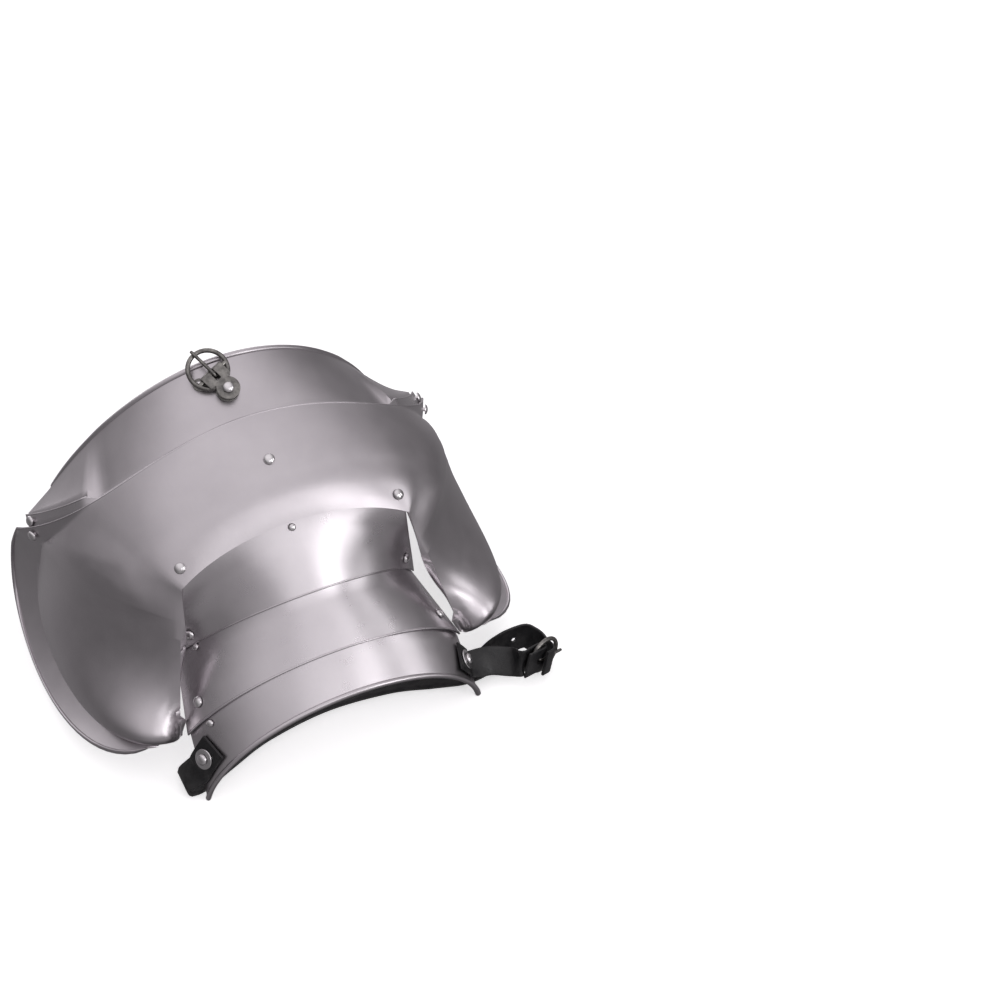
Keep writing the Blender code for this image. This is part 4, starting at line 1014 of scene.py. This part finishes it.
def leather_look(name):
    """Black leather: fine grain, light creases across it and a little dusty wear."""
    made, tree, shader, where = start_look(name, 0.5, 0.0)
    wear = noise(tree, where, 130.0, 6.0, 0.65)
    colour = ramp(tree, wear, 0.45, 0.78, (0.008, 0.008, 0.009), (0.030, 0.029, 0.029))
    cells = add_node(tree, "TexVoronoi", {"Vector": where, "Scale": 1500.0}, "Distance")
    grain = bump(tree, cells, 0.22, 0.0004)
    creases = bump(tree, noise(tree, where, 320.0, 4.0, 0.6), 0.35, 0.0006, Normal=grain)
    rough = spread(tree, wear, 0.30, 0.50)
    feed(tree, shader, {"Base Color": colour, "Roughness": rough, "Normal": creases})
    return made


def floor_look(name):
    """A white table, with a glow of its own that keeps its tone near white."""
    made, tree, shader, where = start_look(name, 0.9, 0.0)
    tone = ramp(tree, noise(tree, where, 3.0), 0.3, 0.7, (0.93, 0.93, 0.93), (0.95, 0.95, 0.95))
    feed(tree, shader, {"Base Color": tone, "Emission Color": tone, "Emission Strength": FLOOR_GLOW})
    return made


# Studio


SENSOR_WIDTH = 36.0
FOCAL_PIXELS = 1765.0  # for a picture 1000 pixels wide
CAMERA_RISE = radians(42)
CAMERA_TURN = 0.479306
CAMERA_SHIFT = (-0.153993, -0.088441)  # of the object in the view, right and up
CAMERA_DISTANCE = 1.22342
FLOOR_HALF = 6.0
FLOOR_GLOW = 0.56
ROOM_SIDES = 0.50  # the level straight to the object's front and back, as a share of the room's
SIDE_FROM = 0.45  # where that dimming starts and ends, as the size of the direction's x
SIDE_TO = 0.95
ROOM_TINT = (1.0, 0.965, 0.995)
# The room's brightness by height: sine of the elevation, and level
ROOM = [(-1.0, 0.08), (-0.7, 0.20), (-0.35, 0.32), (-0.05, 0.30)]
ROOM += [(0.12, 0.34), (0.45, 0.50), (0.75, 0.74), (1.0, 0.90)]
Light = namedtuple("Light", "name place size power colour")
LIGHTS = [
    Light("key_box", (1.15, -1.75, 0.85), (0.6, 1.5), 7.5, (1.0, 0.985, 1.0)),
    Light("wide_box", (0.2, -2.2, 1.5), (1.1, 1.3), 3.2, (1.0, 0.985, 1.0)),
    Light("right_box", (1.85, -1.0, 0.75), (0.55, 1.3), 3.4, (1.0, 0.985, 1.0)),
    Light("far_box", (0.3, 3.0, 0.9), (4.0, 1.5), 20.0, (1.0, 0.98, 1.0)),
]
LIGHT_AIM = Vector((0.0, 0.0, 0.08))


def add_camera():
    right = Vector((cos(CAMERA_TURN), -sin(CAMERA_TURN), 0.0))
    level = Vector((sin(CAMERA_TURN), cos(CAMERA_TURN), 0.0))
    ahead = level * cos(CAMERA_RISE) - Vector((0.0, 0.0, sin(CAMERA_RISE)))
    up = right.cross(ahead)
    data = bpy.data.cameras.new("camera")
    data.sensor_width = SENSOR_WIDTH
    data.lens = SENSOR_WIDTH * FOCAL_PIXELS / 1000.0
    camera = new_object("camera", data)
    turn = Matrix((right, up, -ahead)).transposed().to_4x4()
    place = -right * CAMERA_SHIFT[0] - up * CAMERA_SHIFT[1] - ahead * CAMERA_DISTANCE
    camera.matrix_world = TO_MIDDLE @ Matrix.Translation(place) @ turn
    bpy.context.scene.camera = camera


def add_light(light):
    data = bpy.data.lights.new(light.name, "AREA")
    data.shape = "RECTANGLE"
    data.size, data.size_y = light.size
    data.energy = light.power
    data.color = light.colour
    lamp = new_object(light.name, data)
    lamp.location = light.place
    lamp.rotation_euler = (LIGHT_AIM - Vector(light.place)).to_track_quat("-Z", "Y").to_euler()


def add_floor(look):
    work = bmesh.new()
    bmesh.ops.create_grid(work, x_segments=8, y_segments=8, size=FLOOR_HALF)
    mesh = bpy.data.meshes.new("floor")
    work.to_mesh(mesh)
    work.free()
    mesh.materials.append(look)
    floor = new_object("floor", mesh)
    floor.visible_glossy = False


def set_world():
    """The room that the steel reflects: bright overhead, grey round it, darker low down and beside it."""
    world = bpy.data.worlds.new("room")
    world.use_nodes = True
    tree = world.node_tree
    apart = tree.nodes.new("ShaderNodeSeparateXYZ")
    feed(tree, apart, {"Vector": add_node(tree, "TexCoord", {}, "Generated")})
    made = tree.nodes.new("ShaderNodeValToRGB")
    elements = made.color_ramp.elements
    while len(elements) < len(ROOM):
        elements.new(0.5)
    for element, (rise, level) in zip(elements, ROOM):
        element.position = (1 + rise) / 2
        element.color = (*(level * tint for tint in ROOM_TINT), 1.0)
    height = add_node(tree, "MapRange", {"Value": apart.outputs["Z"], "From Min": -1.0}, "Result")
    feed(tree, made, {"Fac": height})
    aside = tree.nodes.new("ShaderNodeMath")
    aside.operation = "ABSOLUTE"
    feed(tree, aside, {0: apart.outputs["X"]})
    inputs = {"Value": aside.outputs["Value"], "From Min": SIDE_FROM, "From Max": SIDE_TO}
    inputs |= {"To Min": 1.0, "To Max": ROOM_SIDES}
    dimmed = tree.nodes.new("ShaderNodeVectorMath")
    dimmed.operation = "SCALE"
    feed(tree, dimmed, {0: made.outputs["Color"], "Scale": add_node(tree, "MapRange", inputs, "Result")})
    feed(tree, tree.nodes["Background"], {"Color": dimmed.outputs["Vector"]})
    bpy.context.scene.world = world


def main():
    plate = steel_look("plate_steel", (0.575, 0.545, 0.568), (0.640, 0.608, 0.630), 0.29, 0.37, 0.03)
    lame = steel_look("lame_steel", (0.595, 0.565, 0.588), (0.655, 0.625, 0.646), 0.26, 0.34, 0.03)
    rivet = steel_look("rivet_steel", (0.70, 0.68, 0.69), (0.85, 0.83, 0.84), 0.16, 0.26, 0.01)
    dress((plate, lame, rivet, dark_steel_look("dark_steel"), leather_look("black_leather")))
    add_floor(floor_look("floor"))
    set_world()
    for light in LIGHTS:
        add_light(light)
    bpy.context.scene.view_settings.view_transform = "Standard"
    add_camera()


main()
